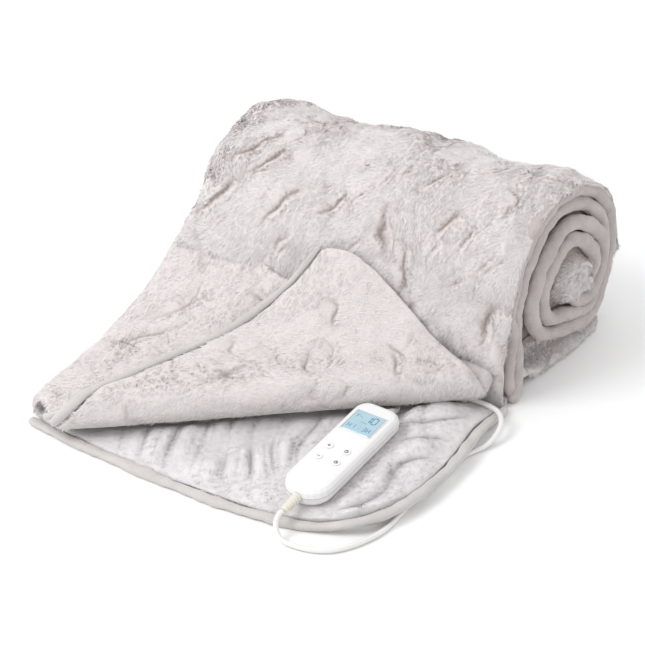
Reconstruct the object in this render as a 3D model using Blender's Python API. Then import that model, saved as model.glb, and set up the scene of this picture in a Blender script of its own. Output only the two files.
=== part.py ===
"""Electric heated blanket: folded in four, rolled from one end, its loose end open on the floor with one
corner turned back, the controller lying on it. Metres, +Z up, +X along the roll towards its open spiral end,
the loose end towards -Y."""

import math

import bpy
import numpy as np
from mathutils import Vector
from mathutils.bvhtree import BVHTree

# ---- driving sizes -------------------------------------------------------------------------------
GAP = 0.0003
CENTRE = (-0.0119, -0.1338)  # the middle of the object's plan in the drawing's own X and Y

# the roll
ROLL_RIGHT = 0.171  # its open end at the front wall
END_SLANT = 0.028  # the open end stands out this much further at the back
ROLL_LEFT = -0.206
AXIS_Y, AXIS_Z = 0.004, 0.092  # the core of the winding
SEAM_Y = -0.115  # the loose end starts here
TURN_PITCH = 0.036  # four plies of plush cloth
TELESCOPE = 0.014  # the core stands out this far past the outer turn
END_LOBE = 0.006  # each turn's plush fold bulges at the end
OUTER_RADIUS = 0.118
LOBE_PHASE = 0.27
STRIPS = (  # name, how deep in its turn it lies, and its foot up the front wall as (y, z)
    ("outer", 0.86, ((-0.1060, 0.0062), (-0.0920, 0.0085), (-0.0825, 0.0300), (-0.0785, 0.0650))),
    ("inner", 0.52, ((-0.1020, 0.0230), (-0.0940, 0.0450), (-0.0890, 0.0700))),
)
LEFT_DOME, LEFT_LOBE = 0.012, 0.006
END_SOFTNESS = 0.010  # how far the rims of both ends are drawn in

# the loose end's plies
LOWER_THICK = 0.007
LEAD_LIFT = 0.0085  # the lower ply's right side rides this high over the lead
LIFT_FROM_X, LIFT_FROM_Y, LIFT_TO_Y = 0.085, -0.385, -0.130
PLY_THICK = 0.008
POCKET = 0.0066  # between the lower ply and the upper pair, where the mains lead runs
PLY_GAP = 0.0026
UNDER_BOTTOM = LOWER_THICK + POCKET  # underside of the turned-under upper ply
UNDER_TOP = UNDER_BOTTOM + PLY_THICK
TOP_BOTTOM = UNDER_TOP + PLY_GAP
TOP_TOP = TOP_BOTTOM + PLY_THICK
FLAP_CLEAR = 0.0042
FLAP_AXIS_Z = TOP_TOP + FLAP_CLEAR / 2

# binding tape
TAPE_WIDE = 0.011
TAPE_THICK = 0.008

# lines of the lower ply's outer edge, binding included
FRONT_EDGE = (  # x, y
    (-0.2240, -0.3655), (-0.2060, -0.3685), (-0.173, -0.3740), (-0.121, -0.3785), (-0.070, -0.3830),
    (-0.022, -0.3855), (0.018, -0.3860), (0.073, -0.381), (0.111, -0.371), (0.137, -0.357),
    (0.154, -0.338), (0.165, -0.311),
)
RIGHT_EDGE = (  # y, x
    (-0.311, 0.165), (-0.282, 0.173), (-0.228, 0.178), (-0.170, 0.177), (-0.115, 0.180),
)
LEFT_EDGE = ((-0.352, -0.226), (-0.300, -0.230), (-0.200, -0.228), (-0.115, -0.222))  # y, x
CORNER_Y = -0.338  # the front edge's curve gives way to the right edge's here
LEFT_FRONT_Y = -0.353
UPPER_RIGHT = 0.154
UPPER_FRONT = (-0.377, -0.353)  # y at its left and its right end
FOLD_START = (-0.190, -0.3710)  # the flap's fold line, on the bend's axis
FOLD_END = (0.1525, -0.1205)

# the ramp from the loose end up to the roll: height over the flat plies at the seam, and its length
RAMP = (  # x, rise, length
    (-0.235, 0.052, 0.130), (-0.120, 0.054, 0.110), (0.000, 0.040, 0.080), (0.090, 0.018, 0.050),
    (0.160, 0.006, 0.030),
)

CLIMB_REACH = 0.151
CLIMB_TAKES = (0.0240, 0.0090)  # across and along the fold line, at the turned corner
ROLL_BLEND = 0.004
ROLL_SLOPE = 2.0  # how steeply the flap's tip, which reaches past the seam, climbs the roll

# sections of the roll, from the front wall's foot round over the top to the back and under
ROLL_SECTION = (  # share of the way round, y and z at the left end, y and z at the right end
    (0.00, SEAM_Y + GAP, 0.0000, SEAM_Y + GAP, 0.0000),
    (0.05, SEAM_Y + GAP, 0.0480, SEAM_Y + GAP, 0.0220),
    (0.10, SEAM_Y + GAP, 0.0920, SEAM_Y + GAP, 0.0440),
    (0.16, -0.0900, 0.1240, -0.1090, 0.0800),
    (0.22, -0.0620, 0.1520, -0.1060, 0.1200),
    (0.28, -0.0290, 0.1700, -0.0950, 0.1560),
    (0.35, 0.0090, 0.1820, -0.0640, 0.1900),
    (0.42, 0.0440, 0.1840, -0.0200, 0.2070),
    (0.50, 0.0790, 0.1700, 0.0290, 0.1990),
    (0.57, 0.1020, 0.1430, 0.0720, 0.1700),
    (0.64, 0.1130, 0.1050, 0.1030, 0.1310),
    (0.71, 0.1080, 0.0620, 0.1180, 0.0860),
    (0.78, 0.0900, 0.0240, 0.1070, 0.0400),
    (0.84, 0.0600, 0.0030, 0.0760, 0.0080),
    (0.89, 0.0200, 0.0000, 0.0260, 0.0000),
    (0.94, -0.0420, 0.0000, -0.0280, 0.0000),
    (0.97, -0.0790, 0.0080, -0.0700, 0.0120),
)

# mesh fineness
AROUND, ALONG, CAP_RINGS = 64, 15, 15
LEFT_CAP_RINGS = (0.88, 0.72, 0.55, 0.38, 0.20)  # shares of the end's own outline
WALL_POINTS = 6
LOWER_COLUMNS, FOLD_COLUMNS, NEAR_COLUMNS, FAR_COLUMNS = 15, 6, 9, 10
BEND_FROM_X = -0.120  # the columns stand closer together on its left, where the flap's bend meets the edge
CLOTH_ROWS, BEND_ROWS = 23, 8
ROWS_BEFORE_BEND = 8
TAPE_SIDES = 8

# controller
HANDSET_LONG, HANDSET_WIDE, HANDSET_TALL = 0.148, 0.048, 0.019
HANDSET_AT = (0.0805, -0.2835, 0.0143)  # middle of its underside
HANDSET_TURN = math.radians(-4.5)
HANDSET_TILT = math.radians(2.2)

SCREEN_WIDE, SCREEN_LONG, SCREEN_AT_Y = 0.031, 0.031, 0.0385
KEY_RADIUS = 0.0042
KEYS = (  # name, x and y on the handset's face
    ("upper_left", -0.0095, -0.006), ("upper_right", 0.0095, -0.006),
    ("lower_left", -0.0095, -0.024), ("lower_right", 0.0095, -0.024),
)
RELIEF_LONG = 0.022
UPPER_RELIEF_WAY = (0.02, 1.0, -0.28)
UPPER_RELIEF_LONG = 0.0105

# binding on the roll's open end and on the upper plies
STRIP_WIDE, STRIP_THICK = 0.0085, 0.0060
STRIP_POINTS = 54
MOST_TURNS = 1.38
UPPER_TAPE_WIDE, UPPER_TAPE_THICK = 0.0095, 0.0080

# leads
LEAD_WIDE = 0.0052
MAINS_WIDE = 0.0056
FLOOR_Z = MAINS_WIDE / 2 + GAP
LEAD_Z = 0.0030  # the height of its middle where it lies on the floor
LEAD_ROUTE = (  # from the lower strain relief, round over the floor, under the corner, back over the edge
    (0.0727, -0.3808, 0.0201), (0.0721, -0.3876, 0.0197), (0.0732, -0.3935, 0.0148),
    (0.0775, -0.3975, 0.0075), (0.0850, -0.3990, 0.0036), (0.0970, -0.3990, LEAD_Z),
    (0.1110, -0.3965, LEAD_Z), (0.1250, -0.3900, LEAD_Z), (0.1380, -0.3770, LEAD_Z),
    (0.1490, -0.3580, LEAD_Z), (0.1555, -0.3390, LEAD_Z), (0.1575, -0.3180, LEAD_Z),
    (0.1590, -0.2900, LEAD_Z), (0.1610, -0.2600, LEAD_Z), (0.1640, -0.2330, LEAD_Z),
    (0.1685, -0.2120, LEAD_Z), (0.1750, -0.1970, LEAD_Z), (0.1825, -0.1840, 0.0042),
    (0.1865, -0.1710, 0.0080), (0.1860, -0.1570, 0.0122), (0.1800, -0.1450, 0.0148),
    (0.1700, -0.1360, 0.0132), (0.1550, -0.1295, 0.0106), (0.1395, -0.1290, 0.0104),
)
SOCKET_SIZE = (0.034, 0.018, 0.0058)
SOCKET_AT = (LEAD_ROUTE[-1][0] - GAP - SOCKET_SIZE[0] / 2, *LEAD_ROUTE[-1][1:])
MAINS_ROUTE = (  # from the upper strain relief, through the fold, past the roll's left end to its back
    (0.0866, -0.1984, 0.0199), (0.0867, -0.1950, 0.0190), (0.0866, -0.1860, 0.0130),
    (0.0848, -0.1765, 0.0103), (0.0700, -0.1590, 0.0103), (0.0450, -0.1490, 0.0103),
    (0.0000, -0.1430, 0.0103),
    (-0.0600, -0.1410, 0.0103), (-0.1200, -0.1400, 0.0103), (-0.1650, -0.1370, 0.0103),
    (-0.1880, -0.1335, 0.0112), (-0.2020, -0.1290, 0.0140), (-0.2085, -0.1220, 0.0180),
    (-0.2100, -0.1140, 0.0200), (-0.2140, -0.1060, 0.0175), (-0.2185, -0.0960, 0.0120),
    (-0.2215, -0.0800, 0.0052), (-0.2230, -0.0600, FLOOR_Z), (-0.2240, 0.0100, FLOOR_Z),
    (-0.2200, 0.0800, FLOOR_Z), (-0.2020, 0.1220, FLOOR_Z), (-0.1600, 0.1370, FLOOR_Z),
    (-0.1100, 0.1370, FLOOR_Z), (-0.0800, 0.1330, FLOOR_Z), (-0.0640, 0.1345, FLOOR_Z),
    (-0.0555, 0.1420, FLOOR_Z), (-0.0540, 0.1536, FLOOR_Z),
)
COIL_AT = (-0.0540, 0.1935)
COIL_RADIUS, COIL_THICK, COIL_TALL = 0.0310, 0.0170, 0.0170
TAIL_ROUTE = (  # from the coil to the plug
    (-0.0142, 0.1935, 0.0098), (-0.0050, 0.1937, 0.0098), (0.0060, 0.1945, 0.0098),
    (0.0160, 0.1950, 0.0098),
)


# ---- helpers -------------------------------------------------------------------------------------
def clear_scene():
    for obj in list(bpy.data.objects):
        bpy.data.objects.remove(obj, do_unlink=True)


def material(name, colour, roughness, metallic=0.0):
    made = bpy.data.materials.new(name)
    made.use_nodes = True
    shader = made.node_tree.nodes["Principled BSDF"]
    shader.inputs["Base Color"].default_value = (*colour, 1.0)
    shader.inputs["Roughness"].default_value = roughness
    shader.inputs["Metallic"].default_value = metallic
    made.diffuse_color = (*colour, 1.0)
    return made


def smooth_step(value):
    value = np.clip(value, 0.0, 1.0)
    return value * value * (3.0 - 2.0 * value)


def table(rows, column, at):
    """Reads a table's column at a value of its first column, in straight runs between the rows."""
    rows = np.asarray(rows)
    return np.interp(at, rows[:, 0], rows[:, column])


def rounded(points, count):
    """Evenly spaced points on a smooth curve through the given ones."""
    points = np.asarray(points, float)
    padded = np.vstack([2 * points[0] - points[1], points, 2 * points[-1] - points[-2]])
    dense = []
    for a, b, c, d in zip(padded[:-3], padded[1:-2], padded[2:-1], padded[3:]):
        for t in np.linspace(0, 1, 24, endpoint=False):
            dense.append(0.5 * (2 * b + (c - a) * t + (2 * a - 5 * b + 4 * c - d) * t**2
                                + (3 * b - a - 3 * c + d) * t**3))
    dense.append(padded[-2])
    dense = np.array(dense)
    length = np.concatenate([[0], np.cumsum(np.linalg.norm(np.diff(dense, axis=0), axis=1))])
    where = np.linspace(0, length[-1], count)
    return np.stack([np.interp(where, length, dense[:, k]) for k in range(dense.shape[1])], -1)


def add_mesh(name, points, faces, look):
    """One closed mesh as an object, moved so that the plan's middle lies on the origin."""
    points = np.asarray(points, float) - np.array([CENTRE[0], CENTRE[1], 0.0])
    mesh = bpy.data.meshes.new(name)
    mesh.from_pydata(points.tolist(), [], [list(map(int, face)) for face in faces])
    mesh.materials.append(look)
    mesh.shade_smooth()
    obj = bpy.data.objects.new(name, mesh)
    bpy.context.scene.collection.objects.link(obj)
    return obj


def tube_mesh(rings, closed_ends=True):
    """Points and faces of a skin over rings of equal length, with a fan at each end."""
    count, sides, _ = rings.shape
    points = rings.reshape(-1, 3)
    faces = []
    for i in range(count - 1):
        for j in range(sides):
            k = (j + 1) % sides
            faces.append((i * sides + j, i * sides + k, (i + 1) * sides + k, (i + 1) * sides + j))
    if closed_ends:
        faces.append(tuple(reversed(range(sides))))
        faces.append(tuple((count - 1) * sides + j for j in range(sides)))
    return points, faces


def tape(name, path, side, up, wide, thick, look, sides=TAPE_SIDES):
    """A flat oval tape along a path. side and up are unit vectors at each of the path's points."""
    angle = np.linspace(0, 2 * math.pi, sides, endpoint=False)
    oval = np.stack([np.sign(np.cos(angle)) * np.abs(np.cos(angle)) ** 0.7 * wide / 2,
                     np.sign(np.sin(angle)) * np.abs(np.sin(angle)) ** 0.7 * thick / 2], -1)
    rings = (path[:, None, :] + oval[None, :, 0:1] * side[:, None, :]
             + oval[None, :, 1:2] * up[:, None, :])
    points, faces = tube_mesh(rings)
    return add_mesh(name, points, outward(points, faces), look)


def signed_volume(points, faces):
    total = 0.0
    for face in faces:
        for b, c in zip(face[1:-1], face[2:]):
            total += np.dot(points[face[0]], np.cross(points[b], points[c]))
    return total / 6.0


def outward(points, faces):
    return [face[::-1] for face in faces] if signed_volume(points, faces) < 0 else faces


# ---- fields that shape the cloth -----------------------------------------------------------------
def ruffle(x, y, z):
    """Gentle folds of the plush outside, in metres, nowhere over about 6 mm."""
    return (np.sin(31 * x + 17 * y + 2.1 * np.sin(23 * y + 11 * z)) * 0.0029
            + np.sin(47 * y - 29 * x + 19 * z + 1.3) * 0.0020
            + np.sin(73 * x + 61 * z + 1.9 * np.sin(37 * x)) * 0.0013)


def ramp(x, y):
    """How far the upper plies are raised over the flat, on their way up to the roll."""
    rise = table(RAMP, 1, x)
    length = table(RAMP, 2, x)
    share = np.clip((y - (SEAM_Y - length)) / length, 0.0, 1.0)
    past = y - SEAM_Y
    return rise * share**1.8 + ROLL_SLOPE * (past + np.sqrt(past**2 + ROLL_BLEND**2)) / 2


def lead_lift(x, y):
    """The lower ply's front right corner rides over the lead."""
    along = smooth_step((y - LIFT_FROM_Y) / 0.040) * smooth_step((LIFT_TO_Y - y) / 0.045)
    return LEAD_LIFT * along * smooth_step((x - LIFT_FROM_X) / 0.055)


def fleece_wave(x, y):
    """Soft ridges of the lower ply's fleece, running towards the front."""
    start, along, out = fold_frame()
    past = (x - start[0]) * out[0] + (y - start[1]) * out[1]
    fade = smooth_step((past - 0.012) / 0.03) * smooth_step((y + 0.376) / 0.03)
    return fade * (np.sin(118 * x + 9 * y + 1.2) * 0.0011 + np.sin(61 * x - 31 * y) * 0.0009)


# ---- the roll ------------------------------------------------------------------------------------
def roll_outline(along):
    """The section's outline at a share of the way from the left end to the right one."""
    rows = np.asarray(ROLL_SECTION)
    left, right = rows[:, 1:3], rows[:, 3:5]
    mixed = left + (right - left) * (along * 0.75 + 0.25 * smooth_step(along))
    wall = np.linspace(mixed[0], mixed[2], WALL_POINTS + 1)[:-1]
    outline = np.vstack([wall, rounded(mixed[2:], AROUND - WALL_POINTS)])
    return np.maximum(outline, (SEAM_Y + GAP, 0.0))


def angle_of(y, z):
    """From the front over the top to the back and under, 0 to a full turn."""
    return np.mod(np.arctan2(z - AXIS_Z, AXIS_Y - y), 2 * math.pi)


def outer_radius(angle):
    """The outline's distance from the core at the open end, without the foot of the front wall."""
    outline = roll_outline(1.0)
    radius = np.hypot(outline[:, 0] - AXIS_Y, outline[:, 1] - AXIS_Z)
    around = angle_of(outline[:, 0], outline[:, 1])
    order = np.argsort(around)
    found = np.interp(angle, around[order], radius[order], period=2 * math.pi)
    return np.minimum(found, OUTER_RADIUS)


def inward_step(angle):
    """Going round, the winding moves in by one turn, mostly on its way back to the front."""
    return TURN_PITCH * smooth_step((angle - 2.4) / (2 * math.pi - 2.4))


def turn_phase(y, z):
    """Distance from the core, and how deep a place lies in its turn, from 0 outside to 1 inside."""
    radius = np.hypot(y - AXIS_Y, z - AXIS_Z)
    angle = angle_of(y, z)
    depth = outer_radius(angle) - radius - inward_step(angle)
    return radius, np.mod(depth / TURN_PITCH, 1.0)


def end_plane(y):
    """x of the open end's rim, which slants outwards from the front wall to the back."""
    return ROLL_RIGHT + END_SLANT * smooth_step((y - SEAM_Y) / 0.200)


def right_end(y, z):
    """x of the roll's open end: the core stands out, and each turn's plush fold makes a lobe."""
    radius, phase = turn_phase(y, z)
    inside = 1.0 - smooth_step((radius - 0.012) / 0.090)
    lobe = np.exp(-(((phase - LOBE_PHASE) / 0.15) ** 2))
    outer = 1.0 - smooth_step((radius - 0.096) / 0.014)
    return end_plane(y) - 0.006 + TELESCOPE * inside + END_LOBE * lobe * outer


def left_end(y, z):
    radius, phase = turn_phase(y, z)
    lobe = np.exp(-((phase - 0.5) / 0.2) ** 2)
    inside = 1.0 - smooth_step((radius - 0.012) / 0.085)
    return ROLL_LEFT - LEFT_DOME * inside - LEFT_LOBE * lobe


def build_roll(look):
    stations = np.linspace(0, 1, ALONG + 1)
    rings = []
    for share in stations:
        outline = roll_outline(share)
        middle = np.array([AXIS_Y, AXIS_Z])
        edge = min(share, 1 - share)
        shrink = END_SOFTNESS * (1 - smooth_step(edge / 0.06))
        arm = outline - middle
        reach = np.linalg.norm(arm, axis=1, keepdims=True)
        free = smooth_step((outline[:, 1:2] - 0.030) / 0.05) * smooth_step((outline[:, 0:1] - SEAM_Y) / 0.02)
        x = ROLL_LEFT + (end_plane(outline[:, 0:1]) - ROLL_LEFT) * share
        fold = ruffle(x, outline[:, 0:1], outline[:, 1:2])
        outline = outline + arm / reach * (fold - shrink) * free
        rings.append(np.column_stack([x, outline]))
    right, left = [], []
    for k in range(1, CAP_RINGS):
        share = 1 - k / CAP_RINGS
        ring = rings[-1].copy()
        ring[:, 1:] = np.array([AXIS_Y, AXIS_Z]) + (ring[:, 1:] - [AXIS_Y, AXIS_Z]) * share
        ring[:, 0] = right_end(ring[:, 1], ring[:, 2])
        right.append(ring)
    for share in LEFT_CAP_RINGS:
        ring = rings[0].copy()
        ring[:, 1:] = np.array([AXIS_Y, AXIS_Z]) + (ring[:, 1:] - [AXIS_Y, AXIS_Z]) * share
        ring[:, 0] = left_end(ring[:, 1], ring[:, 2])
        left.append(ring)
    skin = np.array(left[::-1] + rings + right)
    points, faces = tube_mesh(skin, closed_ends=False)
    sides = skin.shape[1]
    points = np.vstack([points, [left_end(AXIS_Y, AXIS_Z), AXIS_Y, AXIS_Z],
                        [right_end(AXIS_Y, AXIS_Z), AXIS_Y, AXIS_Z]])
    hub_left, hub_right = len(points) - 2, len(points) - 1
    last = (len(skin) - 1) * sides
    for j in range(sides):
        k = (j + 1) % sides
        faces.append((hub_left, k, j))
        faces.append((hub_right, last + j, last + k))
    if signed_volume(points, faces) < 0:
        faces = [face[::-1] for face in faces]
    return add_mesh("blanket_roll", points, faces, look)


# ---- the loose end -------------------------------------------------------------------------------
LEFT_CENTRE_Z = (LOWER_THICK / 2 + (TOP_BOTTOM + TOP_TOP) / 2) / 2
LEFT_RADIUS = (TOP_BOTTOM + TOP_TOP) / 4 - LOWER_THICK / 4
RIGHT_CENTRE_Z = (UNDER_BOTTOM + TOP_TOP) / 2
RIGHT_RADIUS = (PLY_THICK + PLY_GAP) / 2
BEND_NEUTRAL = FLAP_AXIS_Z - RIGHT_CENTRE_Z
UNDER_LEFT_INSET = 0.028


def fold_frame():
    """The flap's fold line: its start, its direction, and the way out to the front right."""
    start, end = np.array(FOLD_START), np.array(FOLD_END)
    along = (end - start) / np.linalg.norm(end - start)
    return start, along, np.array([along[1], -along[0]])


def turn_back(x, y, height):
    """Turns what lies past the fold line back over the top plies, round a soft bend."""
    start, along, out = fold_frame()
    off_x, off_y = x - start[0], y - start[1]
    run = off_x * along[0] + off_y * along[1]
    past = off_x * out[0] + off_y * out[1]
    radius = FLAP_AXIS_Z - height
    angle = np.clip(past / BEND_NEUTRAL, 0, math.pi)
    beyond = np.maximum(past - BEND_NEUTRAL * math.pi, 0)
    climb = (beyond / CLIMB_REACH) ** 3  # climbing the roll takes up some of the corner's length
    beyond = beyond - CLIMB_TAKES[0] * climb
    run = run - CLIMB_TAKES[1] * climb
    shift = np.where(past < 0, past, radius * np.sin(angle) - beyond)
    new_z = np.where(past < 0, height, FLAP_AXIS_Z - radius * np.cos(angle))
    new_x = start[0] + run * along[0] + shift * out[0]
    new_y = start[1] + run * along[1] + shift * out[1]
    return np.stack([new_x, new_y, new_z + ramp(new_x, new_y)], -1)


def left_centre(y):
    """x of the left fold's centre line."""
    return table(LEFT_EDGE, 1, y) + LEFT_RADIUS + 0.002


def lower_outline():
    """The lower ply's outer edge with its tape, from the left tip round the corner to the seam."""
    return rounded([*FRONT_EDGE, *[(x, y) for y, x in RIGHT_EDGE[1:]]], 160)


def inset(path, by):
    """A plane path moved sideways, to the left of its direction."""
    along = np.gradient(path, axis=0)
    along /= np.linalg.norm(along, axis=1, keepdims=True)
    return path + by * np.stack([-along[:, 1], along[:, 0]], -1)


def along_curve(curve, share):
    length = np.concatenate([[0], np.cumsum(np.linalg.norm(np.diff(curve, axis=0), axis=1))])
    share = np.asarray(share) * length[-1]
    return np.stack([np.interp(share, length, curve[:, 0]), np.interp(share, length, curve[:, 1])], -1)


def lower_grid(columns, rows):
    """Plan of the lower ply: a patch between its front, right, seam and left edges."""
    edge = inset(lower_outline(), TAPE_WIDE + GAP)
    turn = int(np.argmin(np.abs(edge[:, 1] - CORNER_Y) + (edge[:, 0] < 0.1)))
    front, right = edge[: turn + 1], edge[turn:]
    front = front[front[:, 0] > left_centre(LEFT_FRONT_Y)]
    front = np.vstack([[left_centre(LEFT_FRONT_Y), front[0, 1]], front])
    right = right[right[:, 1] < SEAM_Y]
    right = np.vstack([right, [right[-1, 0], SEAM_Y]])[::-1]
    u = np.asarray(columns)[None, :, None]
    v = np.asarray(rows)[:, None, None]
    f, r = along_curve(front, columns)[None], along_curve(right, rows)[:, None]
    seam_left = np.array([left_centre(SEAM_Y), SEAM_Y])
    s = (seam_left + (right[0] - seam_left) * np.asarray(columns)[:, None])[None]
    left_y = SEAM_Y + (front[0, 1] - SEAM_Y) * np.asarray(rows)
    left = np.stack([left_centre(left_y), left_y], -1)[:, None]
    corners = ((1 - u) * (1 - v) * seam_left + u * (1 - v) * right[0] + (1 - u) * v * front[0]
               + u * v * front[-1])
    return (1 - v) * s + v * f + (1 - u) * left + u * r - corners


def lower_ply(face):
    rows = np.linspace(0, 1, CLOTH_ROWS + 1)
    columns = np.linspace(1, 0, LOWER_COLUMNS)
    plan = lower_grid(columns, rows)
    x, y = plan[..., 0], plan[..., 1]
    z = LOWER_THICK * (0.5 - face) + lead_lift(x, y)
    if face < 0:
        z = z + fleece_wave(x, y)
    return np.stack([x, y, z], -1)


def left_fold(face):
    across = np.linspace(0, 1, FOLD_COLUMNS + 2)[None, 1:-1]
    y = np.linspace(SEAM_Y, LEFT_FRONT_Y, CLOTH_ROWS + 1)[:, None] + 0 * across
    angle = math.pi * across
    reach = LEFT_RADIUS + (LOWER_THICK + (PLY_THICK - LOWER_THICK) * across) * face
    x = left_centre(y) - reach * np.sin(angle)
    z = LEFT_CENTRE_Z - reach * np.cos(angle) + ramp(left_centre(y), y) * smooth_step(across)
    return np.stack([x, y, z], -1)


def upper_front(x):
    """y of the upper plies' front edge before the corner is turned back."""
    share = (x - FOLD_START[0]) / (UPPER_RIGHT - FOLD_START[0])
    y = UPPER_FRONT[0] + (UPPER_FRONT[1] - UPPER_FRONT[0]) * share
    return LEFT_FRONT_Y + (y - LEFT_FRONT_Y) * smooth_step((x + 0.212) / 0.03)


def upper_rows(x):
    """y of each row of one column: to the bend, round it, and on to the front edge."""
    start, _, out = fold_frame()
    bend_start = start[1] - (x - start[0]) * out[0] / out[1]
    bend_end = bend_start + math.pi * BEND_NEUTRAL / out[1]
    front = upper_front(x)
    bend_start = float(np.clip(bend_start, front + 0.030, SEAM_Y - 0.003))
    bend_end = float(np.clip(bend_end, front + 0.012, bend_start - 0.012))
    before = np.linspace(SEAM_Y, bend_start, ROWS_BEFORE_BEND + 1)
    bend = np.linspace(bend_start, bend_end, BEND_ROWS + 1)[1:]
    after = np.linspace(bend_end, front, CLOTH_ROWS - ROWS_BEFORE_BEND - BEND_ROWS + 1)[1:]
    even = np.linspace(SEAM_Y, front, CLOTH_ROWS + 1)
    share = smooth_step((x + 0.2105) / 0.035)
    return even * (1 - share) + np.concatenate([before, bend, after]) * share


def upper_columns(left_x):
    """x of the upper plies' columns, closer together on the left."""
    near = np.linspace(left_x, BEND_FROM_X, NEAR_COLUMNS + 1)
    far = np.linspace(BEND_FROM_X, UPPER_RIGHT - RIGHT_RADIUS, FAR_COLUMNS + 1)[1:]
    return np.concatenate([near, far])


def top_columns():
    """Columns of the top ply as (x, height of its middle, thickness along x, thickness along z)."""
    left_x = float(left_centre(LEFT_FRONT_Y))
    middle = (TOP_BOTTOM + TOP_TOP) / 2
    return [(x, middle, 0.0, PLY_THICK) for x in upper_columns(left_x)]


def right_columns():
    found = []
    for across in np.linspace(0, 1, FOLD_COLUMNS + 2)[1:-1]:
        angle = math.pi * across
        found.append((UPPER_RIGHT - RIGHT_RADIUS + RIGHT_RADIUS * math.sin(angle),
                      RIGHT_CENTRE_Z + RIGHT_RADIUS * math.cos(angle),
                      PLY_THICK * math.sin(angle), PLY_THICK * math.cos(angle)))
    return found


def under_columns():
    left_x = float(left_centre(LEFT_FRONT_Y))
    middle = (UNDER_BOTTOM + UNDER_TOP) / 2
    columns = upper_columns(left_x)
    return [(x, middle, 0.0, -PLY_THICK) for x in columns[columns > left_x + UNDER_LEFT_INSET][::-1]]


def upper_plies(face):
    columns = [*top_columns(), *right_columns(), *under_columns()]
    grid = []
    for x, height, thick_x, thick_z in columns:
        rows = upper_rows(x + thick_x * face)
        # near the left fold the column bows out with the fold's own line
        drift = (left_centre(rows) - left_centre(LEFT_FRONT_Y)) * smooth_step((-0.150 - x) / 0.06)
        grid.append(turn_back(x + drift + thick_x * face, rows, height + thick_z * face))
    return np.array(grid).transpose(1, 0, 2)


def cloth_surface(face):
    """One side of the whole back-and-forth section. face is 0.5 on the plush side, -0.5 on the fleece."""
    return np.concatenate([lower_ply(face), left_fold(face), upper_plies(face)], axis=1)


def build_loose_end(look):
    plush, fleece = cloth_surface(0.5), cloth_surface(-0.5)
    high, wide, _ = plush.shape
    points = np.vstack([plush.reshape(-1, 3), fleece.reshape(-1, 3)])
    under = high * wide
    first_under = wide - len(under_columns())
    faces = []
    for i in range(high - 1):
        for j in range(wide - 1):
            a, b = i * wide + j, i * wide + j + 1
            c, d = b + wide, a + wide
            # plies that lie on each other are split along the same diagonal
            halves = ((a, b, c), (a, c, d)) if j < first_under else ((a, b, d), (b, c, d))
            for half in halves:
                faces.append(half)
                faces.append(tuple(k + under for k in reversed(half)))
    rim = list(range(wide))
    rim += [i * wide + wide - 1 for i in range(1, high)]
    rim += [(high - 1) * wide + j for j in range(wide - 2, -1, -1)]
    rim += [i * wide for i in range(high - 2, 0, -1)]
    for a, b in zip(rim, rim[1:] + rim[:1]):
        faces.append((b, a, a + under, b + under))
    return add_mesh("blanket_loose_end", points, outward(points, faces), look)


# ---- binding -------------------------------------------------------------------------------------
def build_lower_binding(look):
    """Round the lower ply's front and right edge, as far as the seam."""
    path = inset(lower_outline(), TAPE_WIDE / 2)
    path = path[path[:, 1] < SEAM_Y - GAP]
    path = along_curve(path, np.linspace(0, 1, 44))
    lift = np.maximum.reduce([lead_lift(*inset(path, off).T) for off in (-0.004, 0.0, 0.007, 0.012)])
    line = np.column_stack([path, TAPE_THICK / 2 + lift])
    along = np.gradient(path, axis=0)
    along /= np.linalg.norm(along, axis=1, keepdims=True)
    side = np.column_stack([-along[:, 1], along[:, 0], np.zeros(len(along))])
    up = np.tile([0.0, 0.0, 1.0], (len(path), 1))
    return tape("binding_lower_edge", line, side, up, TAPE_WIDE - 0.0006, TAPE_THICK, look)


def build_upper_binding(look):
    """Round the end edge of both upper plies, turned back with them."""
    angle = np.linspace(0, 2 * math.pi, TAPE_SIDES, endpoint=False)
    rings = []
    columns = [*top_columns()[2:], *right_columns(), *under_columns()]
    for x, height, thick_x, thick_z in columns:
        half = UPPER_TAPE_THICK / PLY_THICK / 2 * np.sin(angle)
        y = upper_front(x + thick_x * half) - GAP - UPPER_TAPE_WIDE / 2 * (1 - np.cos(angle) * 0.999)
        rings.append(turn_back(x + thick_x * half, y, height + thick_z * half))
    points, faces = tube_mesh(np.array(rings))
    return add_mesh("binding_upper_edge", points, outward(points, faces), look)


def strip_path(foot, phase):
    """Plane path of one bound side edge on the roll's open end: up the front wall, then winding in."""
    depth = TURN_PITCH * phase
    turn = []
    for angle in np.linspace(0.0, 2 * math.pi * MOST_TURNS, 90):
        step = inward_step(np.mod(angle, 2 * math.pi)) + TURN_PITCH * (angle // (2 * math.pi))
        radius = outer_radius(np.mod(angle, 2 * math.pi)) - depth - step
        turn.append((AXIS_Y - radius * math.cos(angle), AXIS_Z + radius * math.sin(angle)))
    return rounded(np.vstack([foot, turn]), STRIP_POINTS)


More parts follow.
